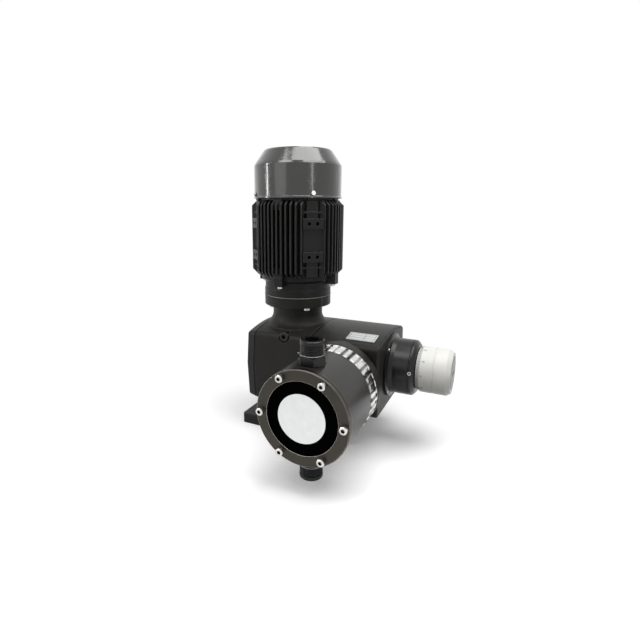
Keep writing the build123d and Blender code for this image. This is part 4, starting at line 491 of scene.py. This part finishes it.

# The rod's return spring, drawn as a coil of wire in place of the plain part
SPRING_TURNS = 4
STEPS_IN_A_TURN = 32
SPRING_WIRE = 1.4 * MM
spring_room = Place("return_spring")
spring_r = (spring_room.high.x - spring_room.low.x) / 2 - SPRING_WIRE
spring_front = Vector((spring_room.middle.x, spring_room.low.y, spring_room.middle.z))
spring_long = spring_room.high.y - spring_room.low.y
spring_steps = SPRING_TURNS * STEPS_IN_A_TURN
coils = []
for step in range(spring_steps + 1):
    share = step / spring_steps
    turn = 2 * math.pi * SPRING_TURNS * share
    back = SPRING_WIRE + (spring_long - 2 * SPRING_WIRE) * share
    coils.append(spring_front + Vector((spring_r * math.cos(turn), back, spring_r * math.sin(turn))))
spring = bmesh.new()
round_wire(spring, coils, SPRING_WIRE)
coil_spring = finished("coil_spring", spring, "machined_steel", "base")
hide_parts("return_spring")
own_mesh(coil_spring)

# The knob's scale: marks around the skirt, every fifth one long, and the tens from 0 to 90
SCALE_R = (knob.high.y - knob.low.y) / 2
SCALE_MARKS = 50
MARKS_TO_LONG = 5
LONG_MARK = 4.6 * MM
SHORT_MARK = 2.6 * MM
MARK_START = 1.2 * MM
MARK_HALF = 0.16 * MM
MARK_RISE = 0.04 * MM
SCALE_NUMBERS = 10
NUMBER_STEP = 10
DIGIT_SIZE = 4.4 * MM
DIGIT_START = 7.2 * MM
DIGIT_CURVE_STEPS = 3


def on_skirt(turn, along, rise=0.0):
    """A point on the knob's skirt at an angle, a distance from its left end."""
    reach = SCALE_R + rise
    return KNOB_AXIS + Vector((along, -reach * math.cos(turn), reach * math.sin(turn)))


def flat_number(text):
    """The flat mesh of a number, written from its left end and level with its middle."""
    curve = bpy.data.curves.new("scale_number", "FONT")
    curve.body = text
    curve.size = DIGIT_SIZE
    curve.resolution_u = DIGIT_CURVE_STEPS
    curve.align_x = "LEFT"
    curve.align_y = "CENTER"
    holder = bpy.data.objects.new("scale_number", curve)
    flat = bpy.data.meshes.new_from_object(holder)
    bpy.data.objects.remove(holder)
    bpy.data.curves.remove(curve)
    return flat


marks = bmesh.new()
for number, turn in enumerate(full_turn(SCALE_MARKS)):
    mark_long = SHORT_MARK if number % MARKS_TO_LONG else LONG_MARK
    outward = (on_skirt(turn, 0.0) - KNOB_AXIS).normalized()
    sideways = outward.cross(RIGHT)
    middle = on_skirt(turn, MARK_START + mark_long / 2)
    bar(marks, middle, RIGHT * (mark_long / 2), sideways * MARK_HALF, outward * MARK_RISE)
finished("knob_marks", marks, "rubber_black", "knob")

digits = bmesh.new()
for number, turn in enumerate(full_turn(SCALE_NUMBERS)):
    flat = flat_number(str(NUMBER_STEP * number))
    start = len(digits.verts)
    digits.from_mesh(flat)
    bpy.data.meshes.remove(flat)
    digits.verts.ensure_lookup_table()
    for vertex in digits.verts[start:]:
        across, up, _ = vertex.co
        vertex.co = on_skirt(turn + up / SCALE_R, DIGIT_START + across, MARK_RISE)
finished("knob_numbers", digits, "rubber_black", "knob")

# A printed frame with two rules across and one upright on the bare nameplate, and two rivets.
# The plate lies on the arched roof, in front of its crest, so it leans forward.
ROOF_ARCH_R = 260.0 * MM
PLATE_FROM_CREST = 43.0 * MM
PLATE_HALF = 12.0 * MM  # half of its size up the slope
RULE_INSET = 2.2 * MM
RULE_HALF = 0.25 * MM
RULE_RISE = 0.03 * MM
RULE_ROWS = (-1, -1 / 3, 1 / 3, 1)
RULE_COLUMNS = (-1, 0.2, 1)
RIVET_INSET = 1.1 * MM
RIVET_SIDES = 16
RIVET_DOME = (  # radius and height
    (0.9 * MM, 0.0), (0.85 * MM, 0.25 * MM), (0.6 * MM, 0.45 * MM), (0.3 * MM, 0.52 * MM),
)
plate = Place("nameplate")
plate_half_long = (plate.high.x - plate.low.x) / 2
plate_lean = math.asin(PLATE_FROM_CREST / ROOF_ARCH_R)
plate_out = Vector((0, -math.sin(plate_lean), math.cos(plate_lean)))
plate_up = Vector((0, math.cos(plate_lean), math.sin(plate_lean)))
plate_highest = max(vertex.co.dot(plate_out) for vertex in nodes["nameplate"].data.vertices)
plate_at = plate.middle + plate_out * (plate_highest - plate.middle.dot(plate_out))

half_across = plate_half_long - RULE_INSET
half_up = PLATE_HALF - RULE_INSET
row_long = RIGHT * (half_across + RULE_HALF)
rise = plate_out * RULE_RISE
rules = bmesh.new()
for row in RULE_ROWS:
    bar(rules, plate_at + plate_up * (half_up * row), row_long, plate_up * RULE_HALF, rise)
for column in RULE_COLUMNS:
    bar(rules, plate_at + RIGHT * (half_across * column), RIGHT * RULE_HALF, plate_up * half_up, rise)
finished("nameplate_rules", rules, "rubber_black", "base")

rivets = bmesh.new()
for side in (-1, 1):
    rivet_at = plate_at + RIGHT * side * (plate_half_long - RIVET_INSET)
    loops = []
    for reach, height in RIVET_DOME:
        level = rivet_at + plate_out * height
        loops.append([
            rivets.verts.new(level + (RIGHT * math.cos(turn) + plate_up * math.sin(turn)) * reach)
            for turn in full_turn(RIVET_SIDES)
        ])
    skinned(rivets, loops)
finished("nameplate_rivets", rivets, "zinc_steel", "base")


# ---- camera ------------------------------------------------------------------------

# The photo's camera: its focal length and its picture's centre in pixels, its place
# in metres and its turns in radians
PHOTO_SIZE = 640.0
FOCAL_PX = 438.34
CENTRE_PX = (299.46, 299.54)
CAMERA_AT = Vector((0.29376, -0.62389, 0.34353))
CAMERA_YAW = 0.4545
CAMERA_PITCH = 0.2003
CAMERA_ROLL = 0.002
SENSOR_MM = 36.0
CAMERA_NEAREST = 0.01

camera_data = bpy.data.cameras.new("photo_camera")
camera_data.sensor_width = SENSOR_MM
camera_data.lens = FOCAL_PX / PHOTO_SIZE * SENSOR_MM
camera_data.shift_x = (PHOTO_SIZE / 2 - CENTRE_PX[0]) / PHOTO_SIZE
camera_data.shift_y = (CENTRE_PX[1] - PHOTO_SIZE / 2) / PHOTO_SIZE
camera_data.clip_start = CAMERA_NEAREST
camera = bpy.data.objects.new("photo_camera", camera_data)
bpy.context.collection.objects.link(camera)
yaw = Matrix.Rotation(CAMERA_YAW, 4, "Z")
pitch = Matrix.Rotation(math.pi / 2 - CAMERA_PITCH, 4, "X")
roll = Matrix.Rotation(CAMERA_ROLL, 4, "Z")
camera.matrix_world = Matrix.Translation(CAMERA_AT) @ yaw @ pitch @ roll
bpy.context.scene.camera = camera


# ---- light -------------------------------------------------------------------------


def softbox(name, at, towards, size, power):
    """A rectangular area light, aimed at a point."""
    data = bpy.data.lights.new(name, "AREA")
    data.shape = "RECTANGLE"
    data.size, data.size_y = size
    data.energy = power
    light = bpy.data.objects.new(name, data)
    bpy.context.collection.objects.link(light)
    light.location = at
    light.rotation_euler = (Vector(towards) - Vector(at)).to_track_quat("-Z", "Y").to_euler()


softbox("key_overhead", at=(0.5, -0.02, 1.7), towards=(0.0, 0.0, 0.1), size=(1.2, 1.2), power=23.0)
softbox("front_card", at=(-0.25, -0.75, 1.6), towards=(0.0, 0.0, 0.3), size=(0.6, 0.6), power=6.0)
softbox("front_fill", at=(-0.6, -1.7, 0.8), towards=(0.0, 0.0, 0.2), size=(1.0, 1.0), power=3.0)
softbox("right_strip", at=(1.3, -0.7, 0.6), towards=(0.0, 0.0, 0.25), size=(0.1, 1.3), power=2.0)
softbox("left_strip", at=(-1.2, -0.75, 0.7), towards=(0.0, 0.0, 0.3), size=(0.08, 1.3), power=7.0)


def backdrop_rays(tree):
    """1 for the rays that see the backdrop: camera, glossy and transmission rays."""
    paths = tree.nodes.new("ShaderNodeLightPath")
    total = paths.outputs["Is Camera Ray"]
    for other in ("Is Glossy Ray", "Is Transmission Ray"):
        either = tree.nodes.new("ShaderNodeMath")
        either.operation = "MAXIMUM"
        tree.links.new(total, either.inputs[0])
        tree.links.new(paths.outputs[other], either.inputs[1])
        total = either.outputs["Value"]
    return total


def white_sky(tree, strength):
    """Even white light from every side."""
    node = tree.nodes.new("ShaderNodeBackground")
    node.inputs["Color"].default_value = (*WHITE, 1.0)
    node.inputs["Strength"].default_value = strength
    return node.outputs["Background"]


BACKDROP = 1.0  # as the camera and reflections see it
AMBIENT = 0.25  # as it lights the pump
world = bpy.data.worlds.new("studio")
bpy.context.scene.world = world
world.use_nodes = True
sky = world.node_tree
sky.nodes.clear()
chosen = sky.nodes.new("ShaderNodeMixShader")
world_out = sky.nodes.new("ShaderNodeOutputWorld")
sky.links.new(backdrop_rays(sky), chosen.inputs["Fac"])
sky.links.new(white_sky(sky, AMBIENT), chosen.inputs[1])
sky.links.new(white_sky(sky, BACKDROP), chosen.inputs[2])
sky.links.new(chosen.outputs["Shader"], world_out.inputs["Surface"])


# ---- floor -------------------------------------------------------------------------

# A floor that takes the shadow and fades into the white backdrop around the pump
FLOOR_HALF = 1.4
FLOOR_CELLS = 8
FLOOR_GREY = (0.25, 0.25, 0.25)
FLOOR_GLOW = 0.14  # the floor's own light, for the rays that see the backdrop
FADE_MIDDLE = (0.03, -0.16, 0.0)
FADE_START = 0.28
FADE_END = 0.62
floor_mesh = bmesh.new()
bmesh.ops.create_grid(floor_mesh, x_segments=FLOOR_CELLS, y_segments=FLOOR_CELLS, size=FLOOR_HALF)
floor_data = bpy.data.meshes.new("studio_floor")
floor_mesh.to_mesh(floor_data)
floor_mesh.free()
floor = bpy.data.objects.new("studio_floor", floor_data)
bpy.context.collection.objects.link(floor)
floor_finish = Shader("studio_floor")
distance = floor_finish.vector_maths("DISTANCE", floor_finish.place, FADE_MIDDLE).outputs["Value"]
fade = floor_finish.between(distance, low=1.0, high=0.0, start=FADE_START, end=FADE_END)
seen = backdrop_rays(floor_finish.tree)
glow = floor_finish.maths("MULTIPLY", seen, FLOOR_GLOW)
floor_colour = floor_finish.blend(seen, FLOOR_GREY, WHITE)
floor_finish.set(base_color=floor_colour, roughness=0.9, specular_ior_level=0.0, alpha=fade)
floor_finish.set(emission_color=WHITE, emission_strength=glow)
floor_data.materials.append(floor_finish.material)

bpy.context.scene.view_settings.view_transform = "Standard"
